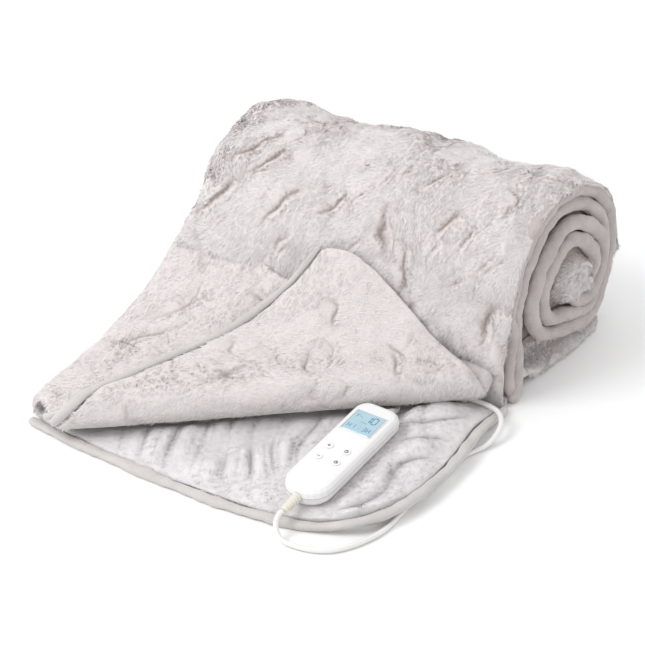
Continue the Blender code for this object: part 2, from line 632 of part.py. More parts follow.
def build_strips(look, roll):
    """The two bound side edges, lying on the roll's open end as spirals."""
    tree = BVHTree.FromObject(roll, bpy.context.evaluated_depsgraph_get())
    shift = np.array(CENTRE)

    def surface_x(y, z):
        hit = tree.ray_cast(Vector((1.0, y - shift[1], z)), Vector((-1.0, 0.0, 0.0)))
        return hit[0].x + shift[0] if hit[0] else ROLL_RIGHT - 0.010

    for name, phase, foot in STRIPS:
        path = strip_path(foot, phase)
        along = np.gradient(path, axis=0)
        along /= np.linalg.norm(along, axis=1, keepdims=True)
        across = np.stack([-along[:, 1], along[:, 0]], -1)
        level = []
        for place, way, run in zip(path, across, along):
            spots = [place + way * s * STRIP_WIDE * 0.5 + run * t * 0.004
                     for s in (-1, -0.5, 0, 0.5, 1) for t in (-2, -1, 0, 1, 2)]
            level.append(max(surface_x(*spot) for spot in spots))
        level = np.array(level)
        level = np.maximum.reduce([level, [level[0], *level[:-1]], [*level[1:], level[-1]]])
        centre = np.column_stack([level + STRIP_THICK / 2 + GAP, path])
        side = np.column_stack([np.zeros(len(path)), across])
        up = np.tile([1.0, 0.0, 0.0], (len(path), 1))
        tape(f"binding_spiral_{name}", centre, side, up, STRIP_WIDE, STRIP_THICK, look)


# ---- controller ----------------------------------------------------------------------------------
def rounded_plate(long, wide, top_corner, low_corner, points_each=6):
    """Outline of a plate, its +Y end with the smaller corners."""
    outline = []
    places = (((wide / 2 - top_corner, long / 2 - top_corner), top_corner, 0.0),
              ((-wide / 2 + top_corner, long / 2 - top_corner), top_corner, 0.5),
              ((-wide / 2 + low_corner, -long / 2 + low_corner), low_corner, 1.0),
              ((wide / 2 - low_corner, -long / 2 + low_corner), low_corner, 1.5))
    for (x, y), radius, start in places:
        for t in np.linspace(0, 0.5, points_each):
            angle = (start + t) * math.pi
            outline.append((x + radius * math.cos(angle), y + radius * math.sin(angle)))
    return np.array(outline)


def lofted_plate(outline, profile):
    """Rings of one outline drawn in by the profile's insets at its heights."""
    middle = (outline.max(axis=0) + outline.min(axis=0)) / 2
    size = (outline.max(axis=0) - outline.min(axis=0)) / 2
    rings = []
    for height, drawn_in in profile:
        scale = (size - drawn_in) / size
        ring = middle + (outline - middle) * scale
        rings.append(np.column_stack([ring, np.full(len(ring), height)]))
    return np.array(rings)


def handset_frame():
    """Turns and places points from the handset's own frame: +Y its upper end, Z from its underside."""
    turn, tilt = HANDSET_TURN, HANDSET_TILT
    spin = np.array([[math.cos(turn), -math.sin(turn), 0], [math.sin(turn), math.cos(turn), 0], [0, 0, 1]])
    lean = np.array([[1, 0, 0], [0, math.cos(tilt), -math.sin(tilt)], [0, math.sin(tilt), math.cos(tilt)]])
    return spin @ lean


def on_handset(points):
    return np.asarray(points) @ handset_frame().T + np.array(HANDSET_AT)


def build_controller(shell, screen, key):
    outline = rounded_plate(HANDSET_LONG, HANDSET_WIDE, 0.013, 0.0215)
    tall = HANDSET_TALL
    profile = ((0.0, 0.0055), (0.0015, 0.0025), (0.005, 0.0004), (tall * 0.55, 0.0),
               (tall - 0.0035, 0.0012), (tall - 0.0010, 0.0034), (tall, 0.0062))
    points, faces = tube_mesh(on_handset(lofted_plate(outline, profile)))
    add_mesh("controller_body", points, outward(points, faces), shell)

    low = tall + GAP
    window = rounded_plate(SCREEN_LONG, SCREEN_WIDE, 0.0016, 0.0016, 4) + np.array([0, SCREEN_AT_Y])
    points, faces = tube_mesh(on_handset(lofted_plate(window, ((low, 0.0), (low + 0.0005, 0.0),
                                                               (low + 0.0008, 0.0004)))))
    add_mesh("controller_screen", points, outward(points, faces), screen)

    disc = np.array([(math.cos(a), math.sin(a)) for a in np.linspace(0, 2 * math.pi, 14, endpoint=False)])
    for name, x, y in KEYS:
        ring = disc * KEY_RADIUS + np.array([x, y])
        rings = lofted_plate(ring, ((low, 0.0), (low + 0.0003, 0.0), (low + 0.0006, 0.0008)))
        points, faces = tube_mesh(on_handset(rings))
        add_mesh(f"controller_key_{name}", points, outward(points, faces), key)


def turned(name, start, way, profile, look, sides=14):
    """A turned piece along a direction. profile rows: distance from its start, radius."""
    way = np.asarray(way, float) / np.linalg.norm(way)
    side = np.cross(way, [0, 0, 1.0])
    side /= np.linalg.norm(side)
    up = np.cross(side, way)
    angle = np.linspace(0, 2 * math.pi, sides, endpoint=False)
    rings = np.array([np.asarray(start) + way * run + radius * (np.cos(angle)[:, None] * side
                                                                + np.sin(angle)[:, None] * up)
                      for run, radius in profile])
    points, faces = tube_mesh(rings)
    return add_mesh(name, points, outward(points, faces), look)


def build_strain_reliefs(rubber):
    down = handset_frame() @ np.array([0, -1.0, 0])
    low_start = on_handset([[0, -HANDSET_LONG / 2, HANDSET_TALL * 0.5]])[0] + down * GAP
    ribs = [(0.0, 0.0052), (0.0018, 0.0052)]
    for k in range(5):
        at = 0.0026 + k * 0.0036
        wide = 0.0050 - k * 0.0003
        ribs += [(at, wide - 0.0011), (at + 0.0009, wide - 0.0011), (at + 0.0013, wide), (at + 0.0025, wide)]
    ribs.append((RELIEF_LONG, 0.0031))
    turned("strain_relief_lower", low_start, down, ribs, rubber)
    high_start = on_handset([[0, HANDSET_LONG / 2, HANDSET_TALL * 0.30]])[0] - down * 0.0008
    turned("strain_relief_upper", high_start, UPPER_RELIEF_WAY,
           ((0.0, 0.0044), (0.004, 0.0042), (UPPER_RELIEF_LONG, 0.0032)), rubber)


# ---- leads ---------------------------------------------------------------------------------------
def lead(name, route, diameter, look):
    """A lead's free stretch: a tube on a smooth curve through its route."""
    route = np.asarray(route, float)
    length = np.linalg.norm(np.diff(route, axis=0), axis=1).sum()
    points = rounded(route, max(int(length / (2.6 * diameter)), 4))
    starts = [route[i] + (route[j] - route[i]) * 0.003 / np.linalg.norm(route[j] - route[i])
              for i, j in ((0, 1), (-1, -2))]
    points = np.vstack([points[:1], starts[:1], points[1:-1], starts[1:], points[-1:]])
    points -= np.array([CENTRE[0], CENTRE[1], 0.0])
    curve = bpy.data.curves.new(name, "CURVE")
    curve.dimensions = "3D"
    spline = curve.splines.new("POLY")
    spline.points.add(len(points) - 1)
    for point, place in zip(spline.points, points):
        point.co = (*place, 1.0)
    curve.bevel_depth = diameter / 2
    curve.bevel_resolution = 2
    curve.use_fill_caps = True
    curve.materials.append(look)
    obj = bpy.data.objects.new(name, curve)
    bpy.context.scene.collection.objects.link(obj)
    return obj


def build_leads(white):
    lead("lead_to_blanket", LEAD_ROUTE, LEAD_WIDE, white)
    lead("mains_lead", MAINS_ROUTE, MAINS_WIDE, white)
    lead("mains_lead_tail", TAIL_ROUTE, MAINS_WIDE, white)
    section = [(COIL_RADIUS - COIL_THICK / 2, 0.0), (COIL_RADIUS + COIL_THICK / 2, 0.0),
               (COIL_RADIUS + COIL_THICK / 2, COIL_TALL), (COIL_RADIUS - COIL_THICK / 2, COIL_TALL)]
    rings = []
    for angle in np.linspace(0, 2 * math.pi, 40, endpoint=False):
        rings.append([(COIL_AT[0] + r * math.cos(angle), COIL_AT[1] + r * math.sin(angle), z)
                      for r, z in section])
    points, faces = tube_mesh(np.array(rings), closed_ends=False)
    last = len(points) - 4
    faces += [(last + j, last + (j + 1) % 4, (j + 1) % 4, j) for j in range(4)]
    add_mesh("mains_lead_coil", points, outward(points, faces), white)


def block(name, centre, size, look, bevel=0.0015):
    """A box with softened edges."""
    outline = rounded_plate(size[1], size[0], bevel * 2, bevel * 2, 3)
    profile = ((-size[2] / 2, bevel), (-size[2] / 2 + bevel, 0.0), (size[2] / 2 - bevel, 0.0),
               (size[2] / 2, bevel))
    points, faces = tube_mesh(lofted_plate(outline, profile) + np.array(centre))
    return add_mesh(name, points, outward(points, faces), look)


def build_plug(white, steel):
    """A plain two-pin plug on its side: grip, face and two round pins."""
    start, way = np.array(TAIL_ROUTE[-1]), np.array([1.0, 0.0, 0.0])
    profile = ((GAP, 0.0042), (0.008, 0.0046), (0.014, 0.0075), (0.030, 0.0095), (0.036, 0.0095))
    turned("plug_body", start, way, profile, white, 16)
    for name, side in (("left", -1), ("right", 1)):
        foot = start + way * (0.036 + GAP) + np.array([0.0, side * 0.0055, 0.0])
        turned(f"plug_pin_{name}", foot, way, ((0.0, 0.0020), (0.0175, 0.0020), (0.019, 0.0012)), steel, 10)


def main():
    clear_scene()
    plush = material("plush", (0.70, 0.66, 0.64), 0.95)
    binding = material("binding", (0.66, 0.64, 0.61), 0.75)
    white = material("white_plastic", (0.90, 0.90, 0.90), 0.35)
    screen = material("screen", (0.45, 0.70, 0.80), 0.25)
    key = material("key", (0.80, 0.80, 0.82), 0.45)
    rubber = material("rubber", (0.86, 0.84, 0.78), 0.60)
    steel = material("steel", (0.70, 0.70, 0.70), 0.30, 1.0)
    roll = build_roll(plush)
    build_loose_end(plush)
    build_lower_binding(binding)
    build_upper_binding(binding)
    build_strips(binding, roll)
    build_controller(white, screen, key)
    build_strain_reliefs(rubber)
    build_leads(white)
    block("blanket_socket", SOCKET_AT, SOCKET_SIZE, rubber)
    build_plug(white, steel)


main()
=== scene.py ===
"""Electric heated blanket, rolled, with one corner of its loose end turned back and its controller lying on it.
The frame is in metres: +Z up, +X along the roll towards its open spiral end, the loose end towards -Y."""

import contextlib
import math

import bpy
import numpy as np
from mathutils import Matrix, Vector, kdtree
from mathutils.bvhtree import BVHTree


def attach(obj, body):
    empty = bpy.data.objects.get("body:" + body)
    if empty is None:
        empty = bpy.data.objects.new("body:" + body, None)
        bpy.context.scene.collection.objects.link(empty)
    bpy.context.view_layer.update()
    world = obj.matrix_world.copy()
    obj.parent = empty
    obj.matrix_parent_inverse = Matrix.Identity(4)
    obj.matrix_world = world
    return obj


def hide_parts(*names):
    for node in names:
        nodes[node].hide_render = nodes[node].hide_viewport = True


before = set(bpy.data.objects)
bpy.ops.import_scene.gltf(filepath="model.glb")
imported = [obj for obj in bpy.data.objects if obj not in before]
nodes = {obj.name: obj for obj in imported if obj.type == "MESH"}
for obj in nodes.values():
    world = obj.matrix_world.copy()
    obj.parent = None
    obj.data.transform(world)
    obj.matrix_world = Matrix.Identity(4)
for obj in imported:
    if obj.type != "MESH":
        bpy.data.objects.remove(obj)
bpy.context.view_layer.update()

# the middle of the plan, in the X and Y that the leads' routes below are measured in
CENTRE = np.array([-0.0119, -0.1338, 0.0])


# ---- small helpers -------------------------------------------------------------------------------
def nothing_selected():
    for obj in list(bpy.context.selected_objects):
        obj.select_set(False)


def pick(obj):
    nothing_selected()
    obj.select_set(True)
    bpy.context.view_layer.objects.active = obj


def smooth_step(value):
    value = np.clip(value, 0.0, 1.0)
    return value * value * (3.0 - 2.0 * value)


def unit(vectors):
    vectors = np.asarray(vectors, float)
    return vectors / np.maximum(np.linalg.norm(vectors, axis=-1, keepdims=True), 1e-9)


def read(rows, field, each=3, kind=float):
    """One field of a mesh's points, faces or triangles as an array."""
    flat = np.empty(len(rows) * each, kind)
    rows.foreach_get(field, flat)
    return flat.reshape(-1, each)


def points_of(mesh):
    return read(mesh.vertices, "co")


def normals_of(mesh):
    return read(mesh.vertex_normals, "vector")


def triangles_of(mesh):
    """The point numbers of each triangle's corners."""
    mesh.calc_loop_triangles()
    return read(mesh.loop_triangles, "vertices", 3, np.int32)


def set_points(mesh, points, lowest):
    """Moves a mesh's points, none of them under the lowest height, and shades it smooth."""
    np.maximum(points[:, 2], lowest, out=points[:, 2])
    mesh.vertices.foreach_set("co", points.ravel())
    mesh.update()
    mesh.shade_smooth()


def waves(points, size, seed, count=9):
    """Smooth seeded unevenness between about -1 and 1, whose bumps are about size across."""
    random = np.random.default_rng(seed)
    total = np.zeros(len(points))
    for _ in range(count):
        way = unit(random.normal(size=3)) * math.tau / size * random.uniform(0.45, 1.1)
        total += np.sin(points @ way + random.uniform(0, math.tau))
    return total / math.sqrt(count)


def smooth_route(points, count):
    """Evenly spaced points on a smooth curve through the given ones."""
    points = np.asarray(points, float)
    padded = np.vstack([2 * points[0] - points[1], points, 2 * points[-1] - points[-2]])
    dense = []
    for a, b, c, d in zip(padded[:-3], padded[1:-2], padded[2:-1], padded[3:]):
        for t in np.linspace(0, 1, 24, endpoint=False):
            dense.append(0.5 * (2 * b + (c - a) * t + (2 * a - 5 * b + 4 * c - d) * t**2
                                + (3 * b - a - 3 * c + d) * t**3))
    dense.append(padded[-2])
    dense = np.array(dense)
    run = np.concatenate([[0], np.cumsum(np.linalg.norm(np.diff(dense, axis=0), axis=1))])
    where = np.linspace(0, run[-1], count)
    return np.stack([np.interp(where, run, dense[:, k]) for k in range(dense.shape[1])], -1)


def linked(name, data):
    obj = bpy.data.objects.new(name, data)
    bpy.context.scene.collection.objects.link(obj)
    return obj


def mesh_from(name, points, faces, look):
    mesh = bpy.data.meshes.new(name)
    mesh.from_pydata(np.asarray(points, float).tolist(), [], [list(map(int, face)) for face in faces])
    mesh.materials.append(look)
    mesh.shade_smooth()
    return linked(name, mesh)


def tube_faces(rings, sides, closed):
    """Faces of a tube whose points come ring by ring: closed to a hoop, or capped at its two ends."""
    faces = []
    for here in range(rings if closed else rings - 1):
        after = (here + 1) % rings
        for side in range(sides):
            beside = (side + 1) % sides
            faces.append((here * sides + side, here * sides + beside, after * sides + beside,
                          after * sides + side))
    if not closed:
        faces.append(tuple(reversed(range(sides))))
        faces.append(tuple((rings - 1) * sides + side for side in range(sides)))
    return faces


@contextlib.contextmanager
def editing(obj, action="SELECT"):
    """Edit mode on one mesh, with all of it selected, or none."""
    pick(obj)
    bpy.ops.object.mode_set(mode="EDIT")
    bpy.ops.mesh.select_all(action=action)
    yield
    bpy.ops.object.mode_set(mode="OBJECT")


def right_way_out(obj):
    """Merges doubles and turns all faces outwards."""
    with editing(obj):
        bpy.ops.mesh.remove_doubles(threshold=0.00001)
        bpy.ops.mesh.normals_make_consistent(inside=False)


def coat(mesh, *looks):
    mesh.materials.clear()
    for look in looks:
        mesh.materials.append(look)


def merged_copy(node, name, *looks):
    """A copy of a solid's mesh with its loose triangles merged."""
    mesh = nodes[node].data.copy()
    coat(mesh, *looks)
    obj = linked(name, mesh)
    right_way_out(obj)
    return obj


def finish_modifier(obj, kind, **settings):
    pick(obj)
    made = obj.modifiers.new(kind.title(), kind)
    for key, value in settings.items():
        setattr(made, key, value)
    bpy.ops.object.modifier_apply(modifier=made.name)


def subdivided(obj, levels):
    """Turns triangle pairs into quads and rounds them by subdivision."""
    with editing(obj):
        bpy.ops.mesh.tris_convert_to_quads(face_threshold=math.radians(60), shape_threshold=math.radians(70))
    finish_modifier(obj, "SUBSURF", levels=levels, render_levels=levels)
    obj.data.shade_smooth()


# ---- camera and leads ----------------------------------------------------------------------------
def place_camera():
    data = bpy.data.cameras.new("camera")
    data.angle = math.radians(20)
    camera = linked("camera", data)
    camera.location = (0.7379, -1.3512, 1.0550)
    camera.rotation_euler = (math.radians(57), 0, math.radians(29))
    bpy.context.scene.camera = camera


LEAD_WIDE, MAINS_WIDE = 0.0052, 0.0056
LEAD_Z, FLOOR_Z = 0.0030, 0.0031
LEAD_ROUTE = (  # from the lower strain relief, round over the floor, under the corner, back over the edge
    (0.0727, -0.3808, 0.0201), (0.0721, -0.3876, 0.0197), (0.0732, -0.3935, 0.0148),
    (0.0775, -0.3975, 0.0075), (0.0850, -0.3990, 0.0036), (0.0970, -0.3990, LEAD_Z),
    (0.1110, -0.3965, LEAD_Z), (0.1250, -0.3900, LEAD_Z), (0.1380, -0.3770, LEAD_Z),
    (0.1490, -0.3580, LEAD_Z), (0.1555, -0.3390, LEAD_Z), (0.1575, -0.3180, LEAD_Z),
    (0.1590, -0.2900, LEAD_Z), (0.1610, -0.2600, LEAD_Z), (0.1640, -0.2330, LEAD_Z),
    (0.1685, -0.2120, LEAD_Z), (0.1750, -0.1970, LEAD_Z), (0.1825, -0.1840, 0.0042),
    (0.1865, -0.1710, 0.0080), (0.1860, -0.1570, 0.0122), (0.1800, -0.1450, 0.0148),
    (0.1700, -0.1360, 0.0132), (0.1550, -0.1295, 0.0106), (0.1395, -0.1290, 0.0104),
)
MAINS_ROUTE = (  # from the upper strain relief, through the fold, past the roll's left end to its back
    (0.0866, -0.1984, 0.0199), (0.0867, -0.1950, 0.0190), (0.0866, -0.1860, 0.0130),
    (0.0848, -0.1765, 0.0103), (0.0700, -0.1590, 0.0103), (0.0450, -0.1490, 0.0103),
    (0.0000, -0.1430, 0.0103), (-0.0600, -0.1410, 0.0103), (-0.1200, -0.1400, 0.0103),
    (-0.1650, -0.1370, 0.0103), (-0.1880, -0.1335, 0.0112), (-0.2020, -0.1290, 0.0140),
    (-0.2085, -0.1220, 0.0180), (-0.2100, -0.1140, 0.0200), (-0.2140, -0.1060, 0.0175),
    (-0.2185, -0.0960, 0.0120), (-0.2215, -0.0800, 0.0052), (-0.2230, -0.0600, FLOOR_Z),
    (-0.2240, 0.0100, FLOOR_Z), (-0.2200, 0.0800, FLOOR_Z), (-0.2020, 0.1220, FLOOR_Z),
    (-0.1600, 0.1370, FLOOR_Z), (-0.1180, 0.1370, FLOOR_Z), (-0.0980, 0.1380, FLOOR_Z),
    (-0.0840, 0.1420, FLOOR_Z), (-0.0700, 0.1520, FLOOR_Z),
)
COIL_AT = (-0.0540, 0.1935)
COIL_TURNS = (  # height and radius at the start of each turn, the last row the end of the last one
    (0.0031, 0.0368), (0.0031, 0.0311), (0.0031, 0.0254), (0.0089, 0.0254),
    (0.0089, 0.0311), (0.0089, 0.0368), (0.0147, 0.0350), (0.0147, 0.0350),
)
TAIL_ROUTE = (  # from the coil's last turn to the plug
    (-0.0400, 0.1600, 0.0147), (-0.0240, 0.1660, 0.0147), (-0.0100, 0.1775, 0.0128),
    (0.0030, 0.1890, 0.0104), (0.0120, 0.1940, 0.0098), (0.0160, 0.1950, 0.0098),
)


def coil_points():
    """The turns of the coil, layer on layer, starting and ending at its front."""
    made = []
    rows = np.array(COIL_TURNS)
    for here, after in zip(rows[:-1], rows[1:]):
        for share in np.linspace(0, 1, 24, endpoint=False):
            height = here[0] + (after[0] - here[0]) * smooth_step((share - 0.70) / 0.30)
            radius = here[1] + (after[1] - here[1]) * smooth_step(share)
            angle = (share - 0.25) * math.tau
            made.append((COIL_AT[0] + radius * math.cos(angle), COIL_AT[1] + radius * math.sin(angle),
                         height))
    made.append((COIL_AT[0], COIL_AT[1] - rows[-1][1], rows[-1][0]))
    return np.array(made)


def lead_curve(name, points, wide, look):
    curve = bpy.data.curves.new(name, "CURVE")
    curve.dimensions = "3D"
    spline = curve.splines.new("POLY")
    spline.points.add(len(points) - 1)
    for point, place in zip(spline.points, points):
        point.co = (*place, 1.0)
    spline.use_smooth = True
    curve.bevel_depth = wide / 2
    curve.bevel_resolution = 4
    curve.use_fill_caps = True
    curve.materials.append(look)
    return linked(name, curve)


def lay_leads(look):
    """The seen lead from the controller to the blanket, and the mains lead with its stored coil and plug."""
    points = smooth_route(LEAD_ROUTE, 90) - CENTRE
    seen = lead_curve("lead_to_blanket_flex", points, LEAD_WIDE, look)
    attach(seen, "root")
    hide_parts("lead_to_blanket")

    turns = coil_points()
    before = smooth_route([*MAINS_ROUTE, turns[0]], 120)
    tail = smooth_route([turns[-1], *TAIL_ROUTE], 16)
    points = np.vstack([before[:-1], turns[:-1], tail]) - CENTRE
    mains = lead_curve("mains_lead_flex", points, MAINS_WIDE, look)
    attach(mains, "root")
    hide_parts("mains_lead", "mains_lead_coil", "mains_lead_tail")


# ---- finishes ------------------------------------------------------------------------------------
class Tone:
    """A shader value or colour that ordinary sums build on."""

    def __init__(self, finish, socket):
        self.finish, self.socket = finish, socket

    def _sum(self, kind, first, second, clamp=False):
        return self.finish.tone("ShaderNodeMath", {0: first, 1: second}, operation=kind, use_clamp=clamp)

    def __add__(self, other):
        return self._sum("ADD", self, other)

    def __sub__(self, other):
        return self._sum("SUBTRACT", self, other)

    def __rsub__(self, other):
        return self._sum("SUBTRACT", other, self)

    def __mul__(self, other):
        return self._sum("MULTIPLY", self, other)

    __radd__, __rmul__ = __add__, __mul__

    def clamped(self):
        return self._sum("ADD", self, 0.0, clamp=True)


class Finish:
    """One material. plain settings go straight onto the shader."""

    def __init__(self, name, roughness=0.6, **plain):
        self.material = bpy.data.materials.new(name)
        self.material.use_nodes = True
        self.tree = self.material.node_tree
        self.shader = self.tree.nodes["Principled BSDF"]
        self.set("Roughness", roughness)
        for key, value in plain.items():
            self.set(key.replace("_", " "), value)

    def fill(self, into, value):
        if isinstance(value, Tone):
            self.tree.links.new(value.socket, into)
        else:
            into.default_value = (*value, 1.0) if into.type == "RGBA" else value

    def set(self, socket, value):
        self.fill(self.shader.inputs[socket], value)

    def tone(self, kind, inputs=None, output=0, **settings):
        """Adds a node, fills its inputs by name or number, and gives one of its outputs."""
        node = self.tree.nodes.new(kind)
        for key, value in settings.items():
            setattr(node, key, value)
        for key, value in (inputs or {}).items():
            self.fill(node.inputs[key], value)
        return Tone(self, node.outputs[output])

    def place(self, stretch=(1.0, 1.0, 1.0), turn=(0.0, 0.0, 0.0)):
        spot = self.tone("ShaderNodeTexCoord", output="Object")
        return self.tone("ShaderNodeMapping", {"Vector": spot, "Scale": stretch, "Rotation": turn})

    def noise(self, scale, where=None, detail=3.0, warp=0.0):
        where = where or self.place()
        return self.tone("ShaderNodeTexNoise", {"Vector": where, "Scale": scale, "Detail": detail,
                                                "Roughness": 0.6, "Distortion": warp})

    def attribute(self, name):
        return self.tone("ShaderNodeAttribute", output="Fac", attribute_name=name)

    def blend(self, share, first, second, kind="MIX"):
        return self.tone("ShaderNodeMix", {0: share, 6: first, 7: second}, 2, data_type="RGBA",
                         blend_type=kind)

    def bump(self, height, strength, distance):
        self.set("Normal", self.tone("ShaderNodeBump", {"Height": height, "Strength": strength,
                                                        "Distance": distance}))


# the last plush colour is painted shade, for the pile's creases, the gaps between the open end's bands and the
# left end's fold grooves
PLUSH_TIP, PLUSH_ROOT, PLUSH_CREASE_SHADE = (0.850, 0.824, 0.830), (0.685, 0.645, 0.640), (0.250, 0.205, 0.185)
FLEECE_LIGHT, FLEECE_SHADE = (0.740, 0.722, 0.735), (0.600, 0.578, 0.585)
# the last fleece colour is painted shade for the fleece's wrinkles
FLEECE_WRINKLE_SHADE = (0.320, 0.295, 0.300)
TAPE_LIGHT, TAPE_SHADE = (0.630, 0.602, 0.588), (0.430, 0.405, 0.392)
SPIRAL_LIGHT, SPIRAL_SHADE = (0.560, 0.512, 0.500), (0.345, 0.308, 0.298)


def pile_finish(name, tip, root, deep):
    """Brushed pile: darker and warmer at its roots, each tuft a little different, with painted shade blended in at
    its creases and gaps.
    """
    look = Finish(name, 0.85, Sheen_Weight=0.25, Sheen_Roughness=0.5, Specular_IOR_Level=0.2)
    height = look.attribute("pile_height")
    tuft = look.attribute("pile_tuft")
    # deep is the painted shade colour, blended in by the crease attribute
    colour = look.blend(look.attribute("crease"), look.blend(height, root, tip), deep)
    patch = look.noise(14.0, detail=2.0)
    shade = look.blend((tuft * 0.55 + patch * 0.45).clamped(), (0.94, 0.925, 0.918), (1.0, 1.0, 1.0))
    look.set("Base Color", look.blend(1.0, colour, shade, "MULTIPLY"))
    return look.material


def plush_skin_finish():
    """The cloth under the pile, which shows between the tufts."""
    look = Finish("plush_skin", 0.95, Sheen_Weight=0.15, Specular_IOR_Level=0.15)
    streak = look.noise(120.0, look.place((1.0, 0.45, 0.45), (0.3, 0.5, 0.7)), detail=4.0, warp=0.6)
    colour = look.blend(streak, (0.55, 0.51, 0.50), (0.70, 0.66, 0.655))
    # painted shade in the creases and gaps, blended in by the crease attribute
    look.set("Base Color", look.blend(look.attribute("crease"), colour, PLUSH_CREASE_SHADE))
    look.bump(streak, 0.7, 0.0020)
    return look.material


def fleece_finish():
    """Smooth short fleece, with soft cloudy nap marks and painted shade in its wrinkles."""
    look = Finish("short_fleece", 0.9, Sheen_Weight=0.35, Sheen_Roughness=0.45, Specular_IOR_Level=0.15)
    cloud = look.noise(38.0, detail=4.0)
    nap = look.noise(900.0, look.place((1.0, 0.5, 1.0)), detail=2.0)
    colour = look.blend((cloud * 1.6 + nap * 0.3 - 0.45).clamped(), FLEECE_SHADE, FLEECE_LIGHT)
    # painted shade in the wrinkles, blended in by the crease attribute
    look.set("Base Color", look.blend(look.attribute("crease"), colour, FLEECE_WRINKLE_SHADE))
    look.bump(nap * 0.5 + cloud * 0.6, 0.30, 0.0012)
    return look.material


def band_finish(name, light, dark):
    """Close, soft velvety cloth of the bindings and of the plies' folded edges."""
    look = Finish(name, 0.88, Sheen_Weight=0.30, Sheen_Roughness=0.4, Specular_IOR_Level=0.15)
    cloud = look.noise(44.0, detail=4.0, warp=0.4)
    nap = look.noise(760.0, detail=3.0)
    look.set("Base Color", look.blend((cloud * 1.0 + nap * 0.9 - 0.45).clamped(), dark, light))
    look.bump(nap * 0.8 + cloud * 0.8, 0.55, 0.0012)
    return look.material


def hard_finish(name, scale, dark, light, gloss, relief=None, detail=2.0, stretch=(1.0, 1.0, 1.0), **plain):
    """A moulded, printed or plated surface that varies a little. gloss is its roughness and the swing of it;
    relief is its bump's strength and depth, and a scale where that is finer than the rest."""
    look = Finish(name, **plain)
    haze = look.noise(scale, look.place(stretch), detail=detail)
    look.set("Base Color", look.blend(haze, dark, light))
    roughness, swing = gloss
    look.set("Roughness", haze * swing + roughness if swing else roughness)
    if relief:
        strength, depth, *grain = relief
        look.bump(look.noise(*grain, detail=1.0) if grain else haze, strength, depth)
    return look.material


def ink_finish(name, colour):
    return hard_finish(name, 700.0, tuple(value * 0.8 for value in colour), colour, (0.5, 0.0), detail=1.0)


# ---- the blanket's cloth -------------------------------------------------------------------------
def floor_free(points, from_z=0.003, to_z=0.022):
    """How freely the cloth may move: not at all where it rests on the floor."""
    return smooth_step((points[:, 2] - from_z) / (to_z - from_z))


AXIS_Y, AXIS_Z, TURN_PITCH = 0.1378, 0.092, 0.036  # the core's middle, and how far apart the turns lie
ROLL_RADIUS, CORE_RADIUS = 0.112, 0.020
SEAM_Y = 0.0188  # where the roll ends and the loose end starts
STEP_FROM = 2.4  # the angle past which a turn winds inwards
END_X, END_SLANT, END_DEEP = 0.1829, 0.028, 0.200  # the open end's plane: it slants out towards its back
FOOT_SPLIT = 1.2  # how far below the front the cloth is split when it is unrolled
CREASE_NARROW, CREASE_FULL = 0.32, 0.0036  # the painted shade line in a crease: its share of the width, full depth
END_OUTLINE = (  # the open end's outline round the core: angle from the front over the top, radius
    (0.00, 0.1180), (0.46, 0.1180), (0.75, 0.1160), (1.10, 0.1170), (1.36, 0.1175), (1.81, 0.1090),
    (2.29, 0.1030), (2.77, 0.1065), (3.19, 0.1130), (3.66, 0.1150), (4.00, 0.1120), (4.48, 0.0950),
    (5.00, 0.0960), (5.50, 0.1090), (6.28, 0.1180),
)


def angle_of(y, z):
    return np.mod(np.arctan2(z - AXIS_Z, AXIS_Y - y), math.tau)


def outer_radius(angle):
    rows = np.array(END_OUTLINE)
    return np.interp(np.mod(angle, math.tau), rows[:, 0], rows[:, 1])


ROLL_CREASES = (  # where the pile parts: start and end on the roll, width, depth
    ((0.105, 0.060, 0.200), (0.085, 0.028, 0.175), 0.0075, 0.0050),
    ((0.120, 0.045, 0.190), (0.112, 0.026, 0.160), 0.0060, 0.0040),
    ((-0.020, 0.060, 0.185), (-0.045, 0.030, 0.155), 0.0075, 0.0050),
    ((0.020, 0.050, 0.185), (0.030, 0.024, 0.130), 0.0070, 0.0045),
    ((0.055, 0.030, 0.150), (0.060, 0.020, 0.090), 0.0070, 0.0045),
    ((-0.110, 0.110, 0.190), (-0.140, 0.070, 0.160), 0.0070, 0.0050),
    ((-0.135, 0.120, 0.190), (-0.165, 0.080, 0.165), 0.0065, 0.0050),
    ((-0.150, 0.070, 0.150), (-0.185, 0.045, 0.110), 0.0070, 0.0050),
    ((-0.080, 0.060, 0.165), (-0.110, 0.035, 0.120), 0.0070, 0.0045),
    ((0.140, 0.100, 0.205), (0.160, 0.080, 0.200), 0.0060, 0.0040),
    ((0.160, 0.024, 0.110), (0.150, 0.020, 0.060), 0.0070, 0.0040),
    ((0.000, 0.250, 0.110), (0.060, 0.240, 0.150), 0.0080, 0.0045),
    ((-0.120, 0.240, 0.080), (-0.070, 0.245, 0.130), 0.0080, 0.0045),
)
LOOSE_CREASES = (
    ((-0.175, -0.060, 0.040), (-0.130, -0.010, 0.060), 0.0060, 0.0026),
    ((-0.190, -0.110, 0.036), (-0.150, -0.060, 0.040), 0.0060, 0.0026),
    ((-0.060, -0.130, 0.045), (-0.020, -0.120, 0.048), 0.0060, 0.0026),
    ((0.030, -0.090, 0.052), (0.000, -0.060, 0.060), 0.0060, 0.0030),
    ((0.020, -0.020, 0.070), (-0.010, 0.000, 0.090), 0.0060, 0.0030),
    ((0.100, -0.050, 0.050), (0.080, -0.020, 0.060), 0.0060, 0.0030),
)


def unrolled(points):
    """Places on the roll as distance along it and distance round it, the split at its foot in front."""
    points = np.atleast_2d(points)
    angle = np.mod(angle_of(points[:, 1], points[:, 2]) + FOOT_SPLIT, math.tau) - FOOT_SPLIT
    return np.stack([points[:, 0], angle * ROLL_RADIUS], -1)


def laid_flat(points):
    return np.atleast_2d(points)[:, :2]


